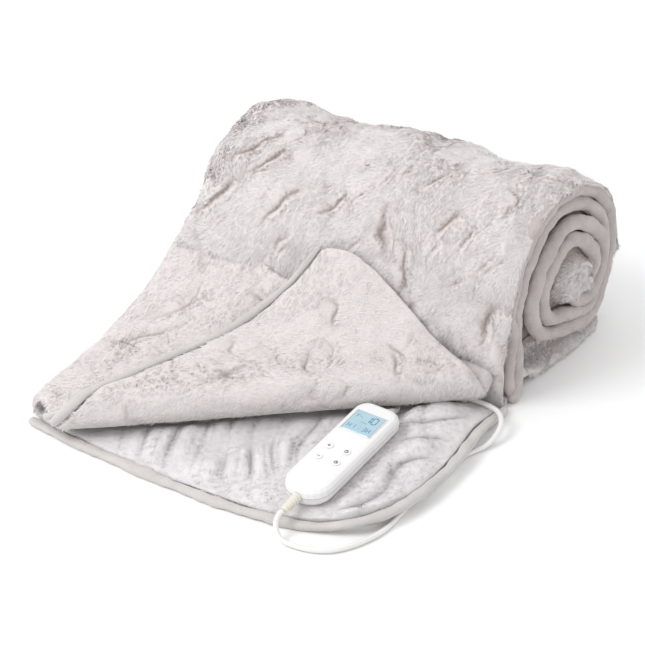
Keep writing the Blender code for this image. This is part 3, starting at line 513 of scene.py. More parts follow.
def crease_rows(flatten, drawn, count, low, high, slant, seed):
    """The drawn creases and seeded ones, each as start, end, width and depth on the flattened cloth."""
    random = np.random.default_rng(seed)
    rows = [(*flatten(start)[0], *flatten(end)[0], wide, deep) for start, end, wide, deep in drawn]
    for _ in range(count):
        at = random.uniform(low, high)
        long = random.uniform(0.014, 0.058)
        lean = slant + random.normal() * 0.45
        rows.append((*at, at[0] + long * math.sin(lean), at[1] + long * math.cos(lean),
                     random.uniform(0.0028, 0.0044), random.uniform(0.0010, 0.0030)))
    return flatten, np.array(rows)


def crease_depth(points, creases, narrow=1.0):
    """How deep each point lies in a crease, in metres."""
    flatten, rows = creases
    flat = flatten(points) + waves(points, 0.024, 71)[:, None] * np.array([0.0038, 0.0028])
    depth = np.zeros(len(points))
    for start_x, start_v, end_x, end_v, wide, deep in rows:
        reach = abs(end_x - start_x) / 2 + 0.015
        close = np.flatnonzero(np.abs(flat[:, 0] - (start_x + end_x) / 2) < reach)
        start, along = np.array([start_x, start_v]), np.array([end_x - start_x, end_v - start_v])
        share = np.clip(((flat[close] - start) @ along) / (along @ along), 0.0, 1.0)
        away = np.linalg.norm(flat[close] - (start + share[:, None] * along), axis=1)
        here = deep * np.exp(-(away / wide / narrow) ** 2) * (1 - 0.85 * np.abs(2 * share - 1) ** 1.5)
        depth[close] = np.maximum(depth[close], here)
    return depth


ROLL_LINES = crease_rows(unrolled, ROLL_CREASES, 90, (-0.165, -0.02), (0.165, 0.42), 0.35, 81)
NO_LINES = laid_flat, np.empty((0, 6))
LOOSE_LINES = crease_rows(laid_flat, LOOSE_CREASES, 34, (-0.200, -0.200), (0.130, 0.005), -0.6, 82)


def crumple(points, small=1.0):
    """The plush's crumpled relief in metres, and how far each point lies in one of its sharp valleys."""
    drawn = points * [1.0, 0.5, 0.5] + points[:, 2:3] * [0.35, 0.0, 0.0]
    broad, fine = waves(drawn, 0.055, 4), waves(drawn, 0.024, 6)
    relief = waves(points, 0.085, 3) * 0.0008 + np.abs(broad) * 0.0024 + np.abs(fine) * 0.0017
    relief += waves(drawn, 0.010, 5) * 0.0004 - 0.0027
    some = smooth_step(waves(points, 0.050, 77) * 1.4 - 0.45)
    valley = np.maximum(np.exp(-(broad / 0.045) ** 2), np.exp(-(fine / 0.07) ** 2) * 0.9) * some
    return relief * small, valley


def mark_painted_shade(mesh, deep):
    # stores the painted shade, from 0 to 1, that the finishes blend in through the crease attribute
    mesh.attributes.new("crease", "FLOAT", "POINT").data.foreach_set("value", deep.astype(np.float32))


def crease_shade(points, creases):
    """Painted shade of the parted pile in its creases and in the crumpled relief's valleys, from 0 to 1."""
    drawn = crease_depth(points, creases, CREASE_NARROW) / CREASE_FULL
    return np.clip(drawn * 1.1 + crumple(points)[1] * 0.38, 0.0, 0.95)


def end_lobes(points):
    """Where the open end's cloth is pulled in between its bound edges, so that they stand free."""
    y, z = points[:, 1], points[:, 2]
    phase, radius = turn_phase(y, z)
    on_end = smooth_step((points[:, 0] - end_plane(y) + 0.020) / 0.012)
    inner_turn = smooth_step((0.084 - radius) / 0.010)
    carve = np.maximum(smooth_step((phase - 0.30) / 0.10), inner_turn) * smooth_step((radius - 0.018) / 0.010)
    off_edges = smooth_step((z - 0.004) / 0.010) * smooth_step((y - SEAM_Y - 0.008) / 0.008)
    return on_end * carve * off_edges


def inward_step(angle):
    return TURN_PITCH * smooth_step((angle - STEP_FROM) / (math.tau - STEP_FROM))


def turn_phase(y, z):
    """Where a place on the end lies across its turn, from 0 outside to 1 inside, and its radius."""
    radius = np.hypot(y - AXIS_Y, z - AXIS_Z)
    angle = angle_of(y, z)
    return np.mod((outer_radius(angle) - radius - inward_step(angle)) / TURN_PITCH, 1.0), radius


def end_plane(y):
    return END_X + END_SLANT * smooth_step((y - SEAM_Y) / END_DEEP)


def left_folds(points, normals):
    """Depth of the grooves between the folds of the plies that wind in on the left end."""
    phase, radius = turn_phase((points[:, 1] - AXIS_Y) * 1.10 + AXIS_Y,
                               (points[:, 2] - AXIS_Z) * 1.12 + AXIS_Z)
    off = np.minimum(np.mod(phase, 0.5), 0.5 - np.mod(phase, 0.5))
    on_end = smooth_step((-0.45 - normals[:, 0]) / 0.35) * smooth_step((points[:, 2] - 0.006) / 0.015)
    between = smooth_step((0.102 - radius) / 0.010) * smooth_step(radius / 0.02)
    return on_end * np.exp(-(off / 0.085) ** 2) * between


def build_roll(skin):
    """The roll's plush body: the solid, softened, puckered and creased."""
    roll = merged_copy("blanket_roll", "roll_cloth", skin)
    roll.data.remesh_voxel_size = 0.0028
    pick(roll)
    bpy.ops.object.voxel_remesh()
    finish_modifier(roll, "SMOOTH", factor=0.5, iterations=3)
    mesh = roll.data
    coat(mesh, skin)
    points, normals = points_of(mesh), normals_of(mesh)
    free = floor_free(points)
    calm = 1 - 0.75 * smooth_step((-0.150 - points[:, 0]) / 0.030)
    move = crumple(points)[0] * calm
    sink = 0.0018 + crease_depth(points, ROLL_LINES) * calm
    points = points + normals * ((move - sink) * free)[:, None]
    front = smooth_step((SEAM_Y + 0.016 - points[:, 1]) / 0.014)
    front *= smooth_step((points[:, 2] - 0.035) / 0.02) * smooth_step((0.112 - points[:, 2]) / 0.02)
    points[:, 1] -= 0.0045 * front  # the front wall bellies out over the loose end
    carve = end_lobes(points)
    points[:, 0] -= 0.013 * carve
    folds = left_folds(points, normals)
    points[:, 0] += 0.010 * folds
    set_points(mesh, points, 0.0)
    # painted shade also in the gaps between the open end's bound edges and in the grooves between the left end's
    # folds
    mark_painted_shade(mesh, np.maximum(crease_shade(points, ROLL_LINES), 0.85 * carve + 0.5 * folds))
    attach(roll, "root")
    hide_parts("blanket_roll")
    return roll


HANDSET_AT = np.array([0.0805, -0.2835, 0.0143]) - CENTRE
HANDSET_TURN, HANDSET_TILT = math.radians(-4.5), math.radians(2.2)
HANDSET_LONG, HANDSET_WIDE, HANDSET_TALL = 0.148, 0.048, 0.019
FLAP_START, FLAP_END = np.array([-0.1781, -0.2372]), np.array([0.1644, 0.0133])  # its fold line
FLEECE_TOP, FACES_UP = 0.0195, 0.25  # the lower ply's fleece lies below this height and faces up this far


def handset_axes():
    """The handset's own directions as rows: across, along to its upper end, and up."""
    turn, tilt = HANDSET_TURN, HANDSET_TILT
    spin = np.array([[math.cos(turn), -math.sin(turn), 0], [math.sin(turn), math.cos(turn), 0], [0, 0, 1]])
    lean = np.array([[1, 0, 0], [0, math.cos(tilt), -math.sin(tilt)], [0, math.sin(tilt), math.cos(tilt)]])
    return (spin @ lean).T


def past_fold(points):
    """Distance in front of the flap's fold line."""
    along = unit(FLAP_END - FLAP_START)
    off = points[:, :2] - FLAP_START
    return off[:, 0] * along[1] - off[:, 1] * along[0]


def fleece_swell(points):
    """Height of the soft ridges and pillows in the lower ply's fleece, and how deep a wrinkle each place is, which
    sets the painted shade there.
    """
    x, y = points[:, 0], points[:, 1]
    away = past_fold(points)
    inner = smooth_step((away + 0.004) / 0.020)
    edge = smooth_step((y + 0.236) / 0.030) * smooth_step((0.176 - x) / 0.030)
    flat = points * [1, 1, 0]
    bent = x * 0.90 + y * 0.40 + 0.008 * waves(flat, 0.10, 21)
    tall = np.clip(0.75 + 0.45 * waves(flat, 0.060, 23), 0.25, 1.3)
    first, second = np.abs(np.sin(bent * 118 + 0.6)), np.abs(np.sin(bent * 201 + 2.0))
    ridges = (first ** 0.7 * 0.0052 + second ** 0.8 * 0.0018) * tall
    left = smooth_step((0.080 - x) / 0.04)
    third = np.abs(np.sin((x * 0.75 - y * 0.66) * 70 + 1.5 * np.sin(y * 40) + 0.8))
    fourth = np.abs(np.sin((x * 0.9 + y * 0.4) * 120 + 1.2 * np.sin(x * 60)))
    pillow = third ** 0.7 * 0.0075 + fourth ** 0.8 * 0.0024
    right = smooth_step((x - 0.100) / 0.02)
    valley = left * tall * ((1 - first) ** 5 + 0.5 * (1 - second) ** 5)
    valley += right * ((1 - third) ** 4 + 0.4 * (1 - fourth) ** 5)
    height = edge * inner * (ridges * left + pillow * right + 0.0009 * waves(flat, 0.030, 22))
    return height, np.clip(valley * edge, 0, 1)


def under_handset(points):
    """How near each place is to the handset, from 0 to 1, and the height of its underside there."""
    axes = handset_axes()
    local = (points - HANDSET_AT) @ axes.T
    gap_x = np.maximum(np.abs(local[:, 0]) - HANDSET_WIDE / 2 + 0.004, 0)
    gap_y = np.maximum(np.abs(local[:, 1]) - HANDSET_LONG / 2 + 0.010, 0)
    near = 1.0 - smooth_step(np.hypot(gap_x, gap_y) / 0.030)
    underside = HANDSET_AT[2] + local[:, 1] * math.sin(HANDSET_TILT) - 0.0004
    return near, underside


def fleece_wrinkle_shade(points):
    """Painted shade in the fleece's wrinkles, from 0 to 1, fading out near the handset."""
    return 0.85 * fleece_swell(points)[1] * (1 - under_handset(points)[0])


def build_loose_end(skin, fleece):
    """The loose end's plies with the corner turned back: plush outside, fleece on the lower ply's top."""
    cloth = merged_copy("blanket_loose_end", "loose_end_cloth", skin, fleece)
    subdivided(cloth, 2)
    mesh = cloth.data
    with editing(cloth, "DESELECT"):
        bpy.ops.mesh.select_mode(type="FACE")
    middle = np.array([face.center for face in mesh.polygons])
    upward = np.array([face.normal.z for face in mesh.polygons])
    shown_fleece = (upward > FACES_UP) & (middle[:, 2] < FLEECE_TOP) & (past_fold(middle) > -0.01)
    creased = (crease_depth(middle, LOOSE_LINES) > 0.0004) & (upward > 0.15) & (middle[:, 2] > 0.022)
    mesh.polygons.foreach_set("select", shown_fleece | creased)
    bpy.ops.object.mode_set(mode="EDIT")
    bpy.ops.mesh.subdivide(number_cuts=2, smoothness=0)
    bpy.ops.object.mode_set(mode="OBJECT")
    points, normals = points_of(mesh), normals_of(mesh)
    lower_top = (normals[:, 2] > FACES_UP) & (points[:, 2] < FLEECE_TOP) & (points[:, 1] < SEAM_Y - 0.002)
    swell = fleece_swell(points)[0] * smooth_step((normals[:, 2] - FACES_UP) / 0.5)
    near, underside = under_handset(points)
    raised = points[:, 2] + swell
    wanted = raised + (underside - raised) * near
    wanted = np.where(near > 0.999, np.minimum(wanted, underside), wanted)
    outer = ~lower_top & (points[:, 2] > 0.012)
    move = crumple(points, 0.5)[0] - 0.0008
    move -= crease_depth(points, LOOSE_LINES)
    up_side = smooth_step((normals[:, 2] + 0.1) / 0.4)
    points = points + normals * (move * outer * up_side)[:, None]
    points[lower_top, 2] = wanted[lower_top]
    nearing = smooth_step((points[:, 1] - SEAM_Y + 0.045) / 0.045) ** 2
    left = smooth_step((-0.065 - points[:, 0]) / 0.045) * smooth_step((points[:, 2] - 0.030) / 0.020)
    points[:, 1:] += np.array([0.0110, 0.0035]) * (nearing * left)[:, None]  # tucks its end into the roll
    set_points(mesh, points, 0.0)
    # painted shade: in the fleece's wrinkles on the lower ply, in the pile's creases elsewhere
    mark_painted_shade(mesh, np.where(lower_top, fleece_wrinkle_shade(points), crease_shade(points, LOOSE_LINES)))
    for face in mesh.polygons:
        if lower_top[list(face.vertices)[:3]].all():
            face.material_index = 1
    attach(cloth, "root")
    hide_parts("blanket_loose_end")
    return cloth


SPIRAL_BANDS = (
    # name, depth in its turn outside and inside, turns, width at its foot and inside,
    # and its foot up the front wall as (y, z)
    ("outer", 0.84, 0.86, 1.90, 0.0165, 0.0165,
     ((0.0278, 0.0070), (0.0418, 0.0085), (0.0513, 0.0300), (0.0553, 0.0650))),
    ("inner", 0.42, 0.37, 1.98, 0.0120, 0.0165,
     ((0.0318, 0.0080), (0.0330, 0.0250), (0.0388, 0.0480), (0.0448, 0.0720))),
)
BAND_SIDES, BAND_STANDS, BAND_DIPS = 14, 0.0085, 0.012  # how far its middle stands out, and dips at its end


def band_path(depth, inner_depth, turns, foot):
    """Plane path of one folded edge on the open end: up the front wall, then winding in."""
    turn = []
    for angle in np.linspace(0.0, math.tau * turns, 120):
        step = inward_step(np.mod(angle, math.tau)) + TURN_PITCH * (angle // math.tau)
        deep = depth + (inner_depth - depth) * smooth_step((angle - 3.0) / 4.0)
        radius = outer_radius(angle) - TURN_PITCH * deep - step
        if radius < CORE_RADIUS:
            break
        turn.append((AXIS_Y - radius * math.cos(angle), AXIS_Z + radius * math.sin(angle)))
    return smooth_route(np.vstack([foot, turn]), 260)


def band_rings(tree, path, depth, foot_wide, inner_wide):
    """The band's rings of points along its path, laid on the open end's cloth."""
    level = []
    for y, z in path:
        hit = tree.ray_cast(Vector((1.0, y, z)), Vector((-1.0, 0.0, 0.0)))
        level.append(hit[0].x if hit[0] else 0.170)
    level = np.array(level)
    for _ in range(120):
        level[1:-1] = level[1:-1] * 0.5 + (level[:-2] + level[2:]) * 0.25
    along = unit(np.gradient(path, axis=0))
    run = np.linspace(0, 1, len(path))
    wide = foot_wide + (inner_wide - foot_wide) * smooth_step(run / 0.30)
    wide = wide * (1 + 0.04 * np.sin(run * 41 + depth * 9))
    wide = (wide * np.sqrt(np.clip(np.minimum(run, 1 - run) / 0.012, 0.05, 1)))[:, None, None]
    turn = np.linspace(0, math.tau, BAND_SIDES, endpoint=False)[None, :, None]
    across = np.column_stack([np.zeros(len(path)), -along[:, 1], along[:, 0]])[:, None]
    middle = np.column_stack([level + BAND_STANDS - BAND_DIPS * smooth_step((run - 0.93) / 0.07), path])
    rings = (middle[:, None] + np.cos(turn) * across * wide * 0.5
             + np.sin(turn) * np.array([1.0, 0.0, 0.0]) * wide * 0.5)
    return rings.reshape(-1, 3)


def build_spiral(roll, look):
    """The bound side edges as soft round bands that wind in on the open end."""
    tree = BVHTree.FromObject(roll, bpy.context.evaluated_depsgraph_get())
    made = []
    for name, depth, inner_depth, turns, foot_wide, inner_wide, foot in SPIRAL_BANDS:
        path = band_path(depth, inner_depth, turns, foot)
        band = mesh_from(f"spiral_band_{name}", band_rings(tree, path, depth, foot_wide, inner_wide),
                         tube_faces(len(path), BAND_SIDES, closed=False), look)
        right_way_out(band)
        finish_modifier(band, "SUBSURF", levels=1, render_levels=1)
        points, normals = points_of(band.data), normals_of(band.data)
        points += normals * (waves(points, 0.022, 31) * 0.0007 + waves(points, 0.007, 32) * 0.00035)[:, None]
        set_points(band.data, points, 0.0004)
        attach(band, "root")
        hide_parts(f"binding_spiral_{name}")
        made.append(band)
    return made


def build_bindings(look):
    """The bound edges of the loose end, rounded, a little puckered by their stitching."""
    made = []
    for node in ("binding_lower_edge", "binding_upper_edge"):
        tape = merged_copy(node, node.replace("binding_", "bound_"), look)
        subdivided(tape, 2)
        points, normals = points_of(tape.data), normals_of(tape.data)
        pucker = waves(points, 0.014, 41) * 0.00045 + waves(points, 0.05, 42) * 0.0005
        points += normals * pucker[:, None]
        set_points(tape.data, points, 0.0001)
        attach(tape, "root")
        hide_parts(node)
        made.append(tape)
    return made


# ---- pile ----------------------------------------------------------------------------------------
def free_height(points, normals, tree, reach=0.014):
    """Room above each point before other cloth."""
    room = np.full(len(points), reach)
    for k, (place, way) in enumerate(zip(points, normals)):
        hit = tree.ray_cast(Vector(place + way * 0.0006), Vector(way), reach)
        if hit[0] is not None:
            room[k] = hit[3]
    return room


def nap_way(points, normals):
    """The way the pile is brushed: along the roll and down its front, wandering from place to place."""
    base = np.stack([-0.55 + 0.55 * waves(points, 0.075, 51), -0.55 + 0.45 * waves(points, 0.085, 52),
                     -0.65 + 0.55 * waves(points, 0.080, 53)], -1)
    base += np.stack([waves(points, 0.020, 54 + k) for k in range(3)], -1) * 0.30
    base -= normals * (base * normals).sum(1, keepdims=True)
    return unit(base)


BLADE_WIDE, BLADES_A_TUFT = 0.0008, 15


def blades_mesh(name, corners, shine, look, **values):
    """One triangle a blade, lit along given directions, with its values for the finish."""
    count = len(corners)
    mesh = bpy.data.meshes.new(name)
    mesh.vertices.add(count)
    mesh.loops.add(count)
    mesh.polygons.add(count // 3)
    mesh.vertices.foreach_set("co", corners.ravel())
    mesh.loops.foreach_set("vertex_index", np.arange(count, dtype=np.int32))
    mesh.polygons.foreach_set("loop_start", np.arange(0, count, 3, dtype=np.int32))
    mesh.update(calc_edges=True)
    mesh.shade_smooth()
    mesh.normals_split_custom_set_from_vertices(shine.tolist())
    for key, value in values.items():
        mesh.attributes.new(key, "FLOAT", "POINT").data.foreach_set("value", value.astype(np.float32))
    mesh.materials.append(look)
    return linked(name, mesh)


def comb_pile(name, places, normals, creases, look, seed, length=0.0060, leans=(8, 25), pulls=(0.16, 0.50),
              sunk=0.0010, tone=None):
    """One mesh of combed tufts: tapered blades that lean along the nap and draw together in clumps."""
    random = np.random.default_rng(seed)
    count = len(places)
    way = nap_way(places, normals)
    depth = crease_depth(places, creases)
    slope = np.stack([crease_depth(places + step, creases) - depth for step in np.eye(3) * 0.0008], -1)
    slope -= normals * (slope * normals).sum(1, keepdims=True)
    parted = smooth_step(depth / 0.0016)[:, None]
    way = unit(way * (1 - parted) - unit(slope) * parted)
    long = length * random.uniform(0.7, 1.2, count) * (1 - 0.35 * np.clip(depth / 0.004, 0, 1))
    lean = np.radians(random.uniform(*leans, count))
    tips = places + (way * np.cos(lean)[:, None] + normals * np.sin(lean)[:, None]) * long[:, None]
    tips += normals * (waves(places, 0.008, 61) * 0.0003)[:, None]
    hubs = random.choice(count, count // BLADES_A_TUFT, replace=False)
    tree = kdtree.KDTree(len(hubs))
    for k, hub in enumerate(hubs):
        tree.insert(places[hub], k)
    tree.balance()
    near = np.array([tree.find(place)[1] for place in places])
    hub_tip = tips[hubs][near]
    pull = random.uniform(*pulls, count)[:, None]
    tips += (hub_tip - tips) * pull
    tips[:, 2] = np.maximum(tips[:, 2], 0.0003)
    side = unit(unit(np.cross(normals, tips - places)) + random.normal(size=(count, 3)) * 0.12)
    half = BLADE_WIDE * random.uniform(0.35, 0.65, count)[:, None]
    foot = places - normals * sunk
    corners = np.stack([foot + side * half, foot - side * half, tips], 1).reshape(-1, 3)
    shine = unit(normals + random.normal(size=(count, 3)) * 0.12 + (tips - places) / long[:, None] * 0.10)
    tuft = random.uniform(0, 1, len(hubs))[near] * 0.6 + random.uniform(0, 0.4, count)
    # the painted shade of the creases, which each blade carries to the finish
    crease = crease_shade(places, creases) if tone is None else tone
    obj = blades_mesh(name, corners, np.repeat(shine, 3, axis=0), look,
                      pile_height=np.tile([0.0, 0.0, 1.0], count),
                      pile_tuft=np.clip(np.repeat(tuft, 3), 0, 1), crease=np.repeat(crease, 3))
    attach(obj, "root")


def scatter(body, tree, keep, count, seed, side=0):
    """Seeded places on a cloth's faces that keep() allows, thinned where other cloth lies close above."""
    mesh = body.data
    corners = triangles_of(mesh)
    owners = read(mesh.loop_triangles, "polygon_index", 1, np.int32)[:, 0]
    looks = read(mesh.polygons, "material_index", 1, np.int32)[:, 0]
    points, normals = points_of(mesh), normals_of(mesh)
    first, second, third = points[corners].transpose(1, 0, 2)
    middle = points[corners].mean(1)
    face_normal = np.cross(second - first, third - first)
    area = np.linalg.norm(face_normal, axis=1) / 2
    face_normal = unit(face_normal)
    allowed = keep(middle, face_normal) & (looks[owners] == side)
    room = np.zeros(len(middle))
    chosen = np.flatnonzero(allowed)
    room[chosen] = free_height(middle[chosen], face_normal[chosen], tree)
    weight = area * allowed * (room > 0.0025)
    random = np.random.default_rng(seed)
    picked = random.choice(len(middle), count, p=weight / weight.sum())
    here, there = random.uniform(size=(2, count))
    over = here + there > 1
    here[over], there[over] = 1 - here[over], 1 - there[over]
    shares = np.stack([here, there, 1 - here - there], 1)[:, :, None]
    places = (points[corners[picked]] * shares).sum(1)
    ways = unit((normals[corners[picked]] * shares).sum(1))
    return places, ways


def cloth_tree(bodies):
    """One search tree over several pieces."""
    points, faces, start = [], [], 0
    for body in bodies:
        points.append(points_of(body.data))
        faces.append(triangles_of(body.data) + start)
        start += len(body.data.vertices)
    return BVHTree.FromPolygons(np.vstack(points).tolist(), np.vstack(faces).tolist())


ROLL_MIDDLE_Y = 0.150  # parts the roll's front pile from its back pile


def off_floor(middle, normal):
    return ~((middle[:, 2] < 0.004) & (normal[:, 2] < -0.3))


def roll_plush(middle, normal):
    """The roll's plush off the floor: round it, and on its open end the rim, the core and the foot."""
    on_end = (normal[:, 0] > 0.35) & (middle[:, 0] > 0.150)
    phase, radius = turn_phase(middle[:, 1], middle[:, 2])
    rim, foot = (phase < 0.31) & (radius > 0.080), (middle[:, 2] < 0.032) & (middle[:, 1] > 0.075)
    return off_floor(middle, normal) & (~on_end | rim | (radius < 0.024) | foot)


def roll_front(middle, normal):
    beside_seam = (middle[:, 1] > SEAM_Y + 0.0005) | (normal[:, 1] > -0.5) | (middle[:, 2] > 0.015)
    return roll_plush(middle, normal) & (middle[:, 1] < ROLL_MIDDLE_Y) & beside_seam


def roll_back(middle, normal):
    return roll_plush(middle, normal) & (middle[:, 1] >= ROLL_MIDDLE_Y)


def loose_plush(middle, normal):
    over_fleece = (past_fold(middle) > 0.006) & (middle[:, 2] < 0.022)
    return off_floor(middle, normal) & ((middle[:, 2] > 0.0135) | (middle[:, 0] < -0.190)) & ~over_fleece


def fleece_side(middle, normal):
    return normal[:, 2] > 0.3


def grow_pile(roll, cloth, bands, look, nap_look):
    """The plush's long pile and the fleece's short nap."""
    tree = cloth_tree([roll, cloth, *bands])
    for name, body, keep, count, creases, seed in (
            ("roll_pile_front", roll, roll_front, 185000, ROLL_LINES, 101),
            ("roll_pile_back", roll, roll_back, 110000, ROLL_LINES, 102),
            ("loose_end_pile", cloth, loose_plush, 190000, LOOSE_LINES, 103)):
        places, ways = scatter(body, tree, keep, count, seed)
        comb_pile(name, places, ways, creases, look, seed + 10)
    places, ways = scatter(cloth, tree, fleece_side, 80000, 104, side=1)
    comb_pile("fleece_nap", places, ways, NO_LINES, nap_look, 114, length=0.0030, leans=(7, 14), pulls=(0.0, 0.12),
              sunk=0.0003, tone=fleece_wrinkle_shade(places))


# ---- controller ----------------------------------------------------------------------------------
def dress_node(node, look):
    obj = nodes[node]
    if not obj.material_slots:
        obj.data.materials.append(look)
    for place in obj.material_slots:
        place.material = look


def on_handset(x, y, above=0.0):
    """A place on the handset's face, given across and along it."""
    return Vector(HANDSET_AT + np.array([x, y, HANDSET_TALL + above]) @ handset_axes())


def handset_turn(about=0.0):
    """Rotation that lays a primitive on the handset's face, turned about its normal."""
    return (Matrix(handset_axes().T.tolist()) @ Matrix.Rotation(about, 3, "Z")).to_euler()


def settled():
    """The primitive just added, with its place applied to its mesh."""
    bpy.ops.object.transform_apply(location=True, rotation=True, scale=True)
    return bpy.context.active_object


def bar(x, y, long, wide, above, tall, about=0.0):
    """A small printed or moulded bar, its corners softened."""
    nothing_selected()
    bpy.ops.mesh.primitive_cube_add(size=1, location=on_handset(x, y, above + tall / 2),
                                    rotation=handset_turn(about), scale=(long, wide, tall))
    obj = settled()
    with editing(obj):
        bpy.ops.mesh.bevel(offset=min(wide, tall) * 0.2, segments=1)
    return obj


def hoop(x, y, radius, thick, above):
    nothing_selected()
    bpy.ops.mesh.primitive_torus_add(location=on_handset(x, y, above), rotation=handset_turn(),
                                     major_radius=radius, minor_radius=thick, major_segments=20,
                                     minor_segments=6)
    return settled()


def joined(name, pieces, look):
    """Makes several small meshes one piece."""
    nothing_selected()
    for piece in pieces:
        piece.select_set(True)
    bpy.context.view_layer.objects.active = pieces[0]
    if len(pieces) > 1:
        bpy.ops.object.join()
    obj = bpy.context.active_object
    obj.name = obj.data.name = name
    coat(obj.data, look)
    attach(obj, "root")
    return obj


SEGMENTS = {  # where each bar of a digit lies: across and up in half heights, and whether it stands
    "top": (0, 1, False), "middle": (0, 0, False), "bottom": (0, -1, False), "upper_left": (-1, 1, True),
    "upper_right": (1, 1, True), "lower_left": (-1, -1, True), "lower_right": (1, -1, True),
}
DIGITS = {
    "0": ("top", "bottom", "upper_left", "upper_right", "lower_left", "lower_right"),
    "1": ("upper_right", "lower_right"),
    "3": ("top", "middle", "bottom", "upper_right", "lower_right"),
    "H": ("middle", "upper_left", "upper_right", "lower_left", "lower_right"),
}
SCREEN_ABOVE, PRINT_TALL = 0.0010, 0.00012
SCREEN_TEXT = (  # digit, across, along, height
    ("1", 0.0012, 0.0455, 0.0095), ("0", 0.0082, 0.0455, 0.0095),
    ("H", -0.0105, 0.0300, 0.0060), ("1", -0.0062, 0.0300, 0.0060),
    ("3", 0.0058, 0.0300, 0.0060), ("H", 0.0105, 0.0300, 0.0060),
)
SCREEN_MARKS = (  # across, along, length, width, turn
    (-0.0100, 0.0475, 0.0036, 0.0006, 0.0), (-0.0112, 0.0455, 0.0006, 0.0036, 0.0),
    (-0.0060, 0.0455, 0.0026, 0.0006, 0.0), (0.0000, 0.0385, 0.0070, 0.0005, 0.0),
    (0.0009, 0.0315, 0.0007, 0.0007, 0.0), (0.0009, 0.0288, 0.0007, 0.0007, 0.0),
)


KEY_ABOVE = 0.0009
KEY_BARS = (  # across, along, length, width, height
    (-0.0095, -0.0060, 0.0034, 0.0008, 0.00014), (-0.0095, -0.0060, 0.0008, 0.0034, 0.00014),
    (-0.0095, -0.0240, 0.0034, 0.0008, 0.00014), (0.0095, -0.0044, 0.0007, 0.0022, 0.00018),
    (0.0099, -0.0238, 0.0012, 0.0006, 0.00018), (0.0095, -0.0235, 0.0006, 0.0016, 0.00018),
)
KEY_RINGS = ((0.0095, -0.0060), (0.0095, -0.0240))
WINDOW_Y, RIM_OUT, RIM_LONG, RIM_WIDE, RIM_TALL = 0.0385, 0.0163, 0.0334, 0.0008, 0.0011
SHELL_CORNERS = (  # across, along, radius, half turns before it starts
    (0.0110, 0.0610, 0.0130, 0.0), (-0.0110, 0.0610, 0.0130, 0.5),
    (-0.0025, -0.0525, 0.0215, 1.0), (0.0025, -0.0525, 0.0215, 1.5),
)
GROOVE_SIDES, GROOVE_WIDE, GROOVE_DEEP = 6, 0.00028, 0.00022


def print_display(ink):
    pieces = []
    for digit, x, y, tall in SCREEN_TEXT:
        half, arm = tall / 2, tall * 0.26
        for part in DIGITS[digit]:
            across, up, stands = SEGMENTS[part]
            size = (half * 0.22, half * 0.80) if stands else (arm * 1.60, half * 0.22)
            place = (x + across * arm, y + up * half / 2) if stands else (x, y + up * half)
            pieces.append(bar(*place, *size, SCREEN_ABOVE, PRINT_TALL))
    for x, y, long, wide, turn in SCREEN_MARKS:
        pieces.append(bar(x, y, long, wide, SCREEN_ABOVE, PRINT_TALL, turn))
    joined("display_digits", pieces, ink)


def mark_keys(ink):
    marks = [bar(x, y, long, wide, KEY_ABOVE, tall) for x, y, long, wide, tall in KEY_BARS]
    marks += [hoop(x, y, 0.0017, 0.00035, 0.0010) for x, y in KEY_RINGS]
    joined("key_marks", marks, ink)


def frame_window(shell):
    rim = [bar(0, WINDOW_Y + side * RIM_OUT, RIM_LONG, RIM_WIDE, 0.0, RIM_TALL) for side in (-1, 1)]
    rim += [bar(side * RIM_OUT, WINDOW_Y, RIM_WIDE, RIM_LONG, 0.0, RIM_TALL) for side in (-1, 1)]
    joined("display_rim", rim, shell)


def part_shell(groove):
    """The line where the shell's two halves meet."""
    outline = []
    for x, y, radius, start in SHELL_CORNERS:
        for share in np.linspace(0, 0.5, 10):
            angle = (start + share) * math.pi
            outline.append((x + radius * math.cos(angle), y + radius * math.sin(angle)))
    outline = np.array(outline)
    ring = []
    for place in outline:
        out = unit(place - outline.mean(0))
        for side in np.linspace(0, math.tau, GROOVE_SIDES, endpoint=False):
            x, y = place + out * math.cos(side) * GROOVE_WIDE
            ring.append(on_handset(x, y, -HANDSET_TALL * 0.45 + math.sin(side) * GROOVE_DEEP))
    line = mesh_from("shell_parting_line", ring, tube_faces(len(outline), GROOVE_SIDES, closed=True), groove)
    right_way_out(line)
    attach(line, "root")


STRAP_WIDE, STRAP_THICK, STRAP_AT = 0.011, 0.0009, math.radians(150)  # where it lies round the coil
STACK_RADIUS, STACK_MIDDLE = 0.0311, 0.0090  # the stack of turns that it ties


def tie_coil(look):
    """A soft strap round the coil's turns."""
    section = []
    for corner, (across, up) in enumerate(((1, 1), (-1, 1), (-1, -1), (1, -1))):
        for share in np.linspace(0, 0.5, 7):
            angle = (corner / 2 + share) * math.pi
            section.append((across * 0.0050 + 0.0040 * math.cos(angle),
                            up * 0.0050 + 0.0038 * math.sin(angle)))
    made = []
    middle = np.array([*COIL_AT, STACK_MIDDLE]) - CENTRE
    out = np.array([math.cos(STRAP_AT), math.sin(STRAP_AT), 0.0])
    along = np.array([-math.sin(STRAP_AT), math.cos(STRAP_AT), 0.0])
    for x, z in section:
        for off, run in ((0.0, -1), (0.0, 1), (STRAP_THICK, 1), (STRAP_THICK, -1)):
            grow = 1 + off / 0.009
            place = middle + out * (STACK_RADIUS + x * grow) + along * run * STRAP_WIDE / 2
            place[2] += z * grow * 0.98
            made.append(np.maximum(place, [-9, -9, 0.0001]))
    strap = mesh_from("coil_tie", made, tube_faces(len(section), 4, closed=True), look)
    right_way_out(strap)
    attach(strap, "root")


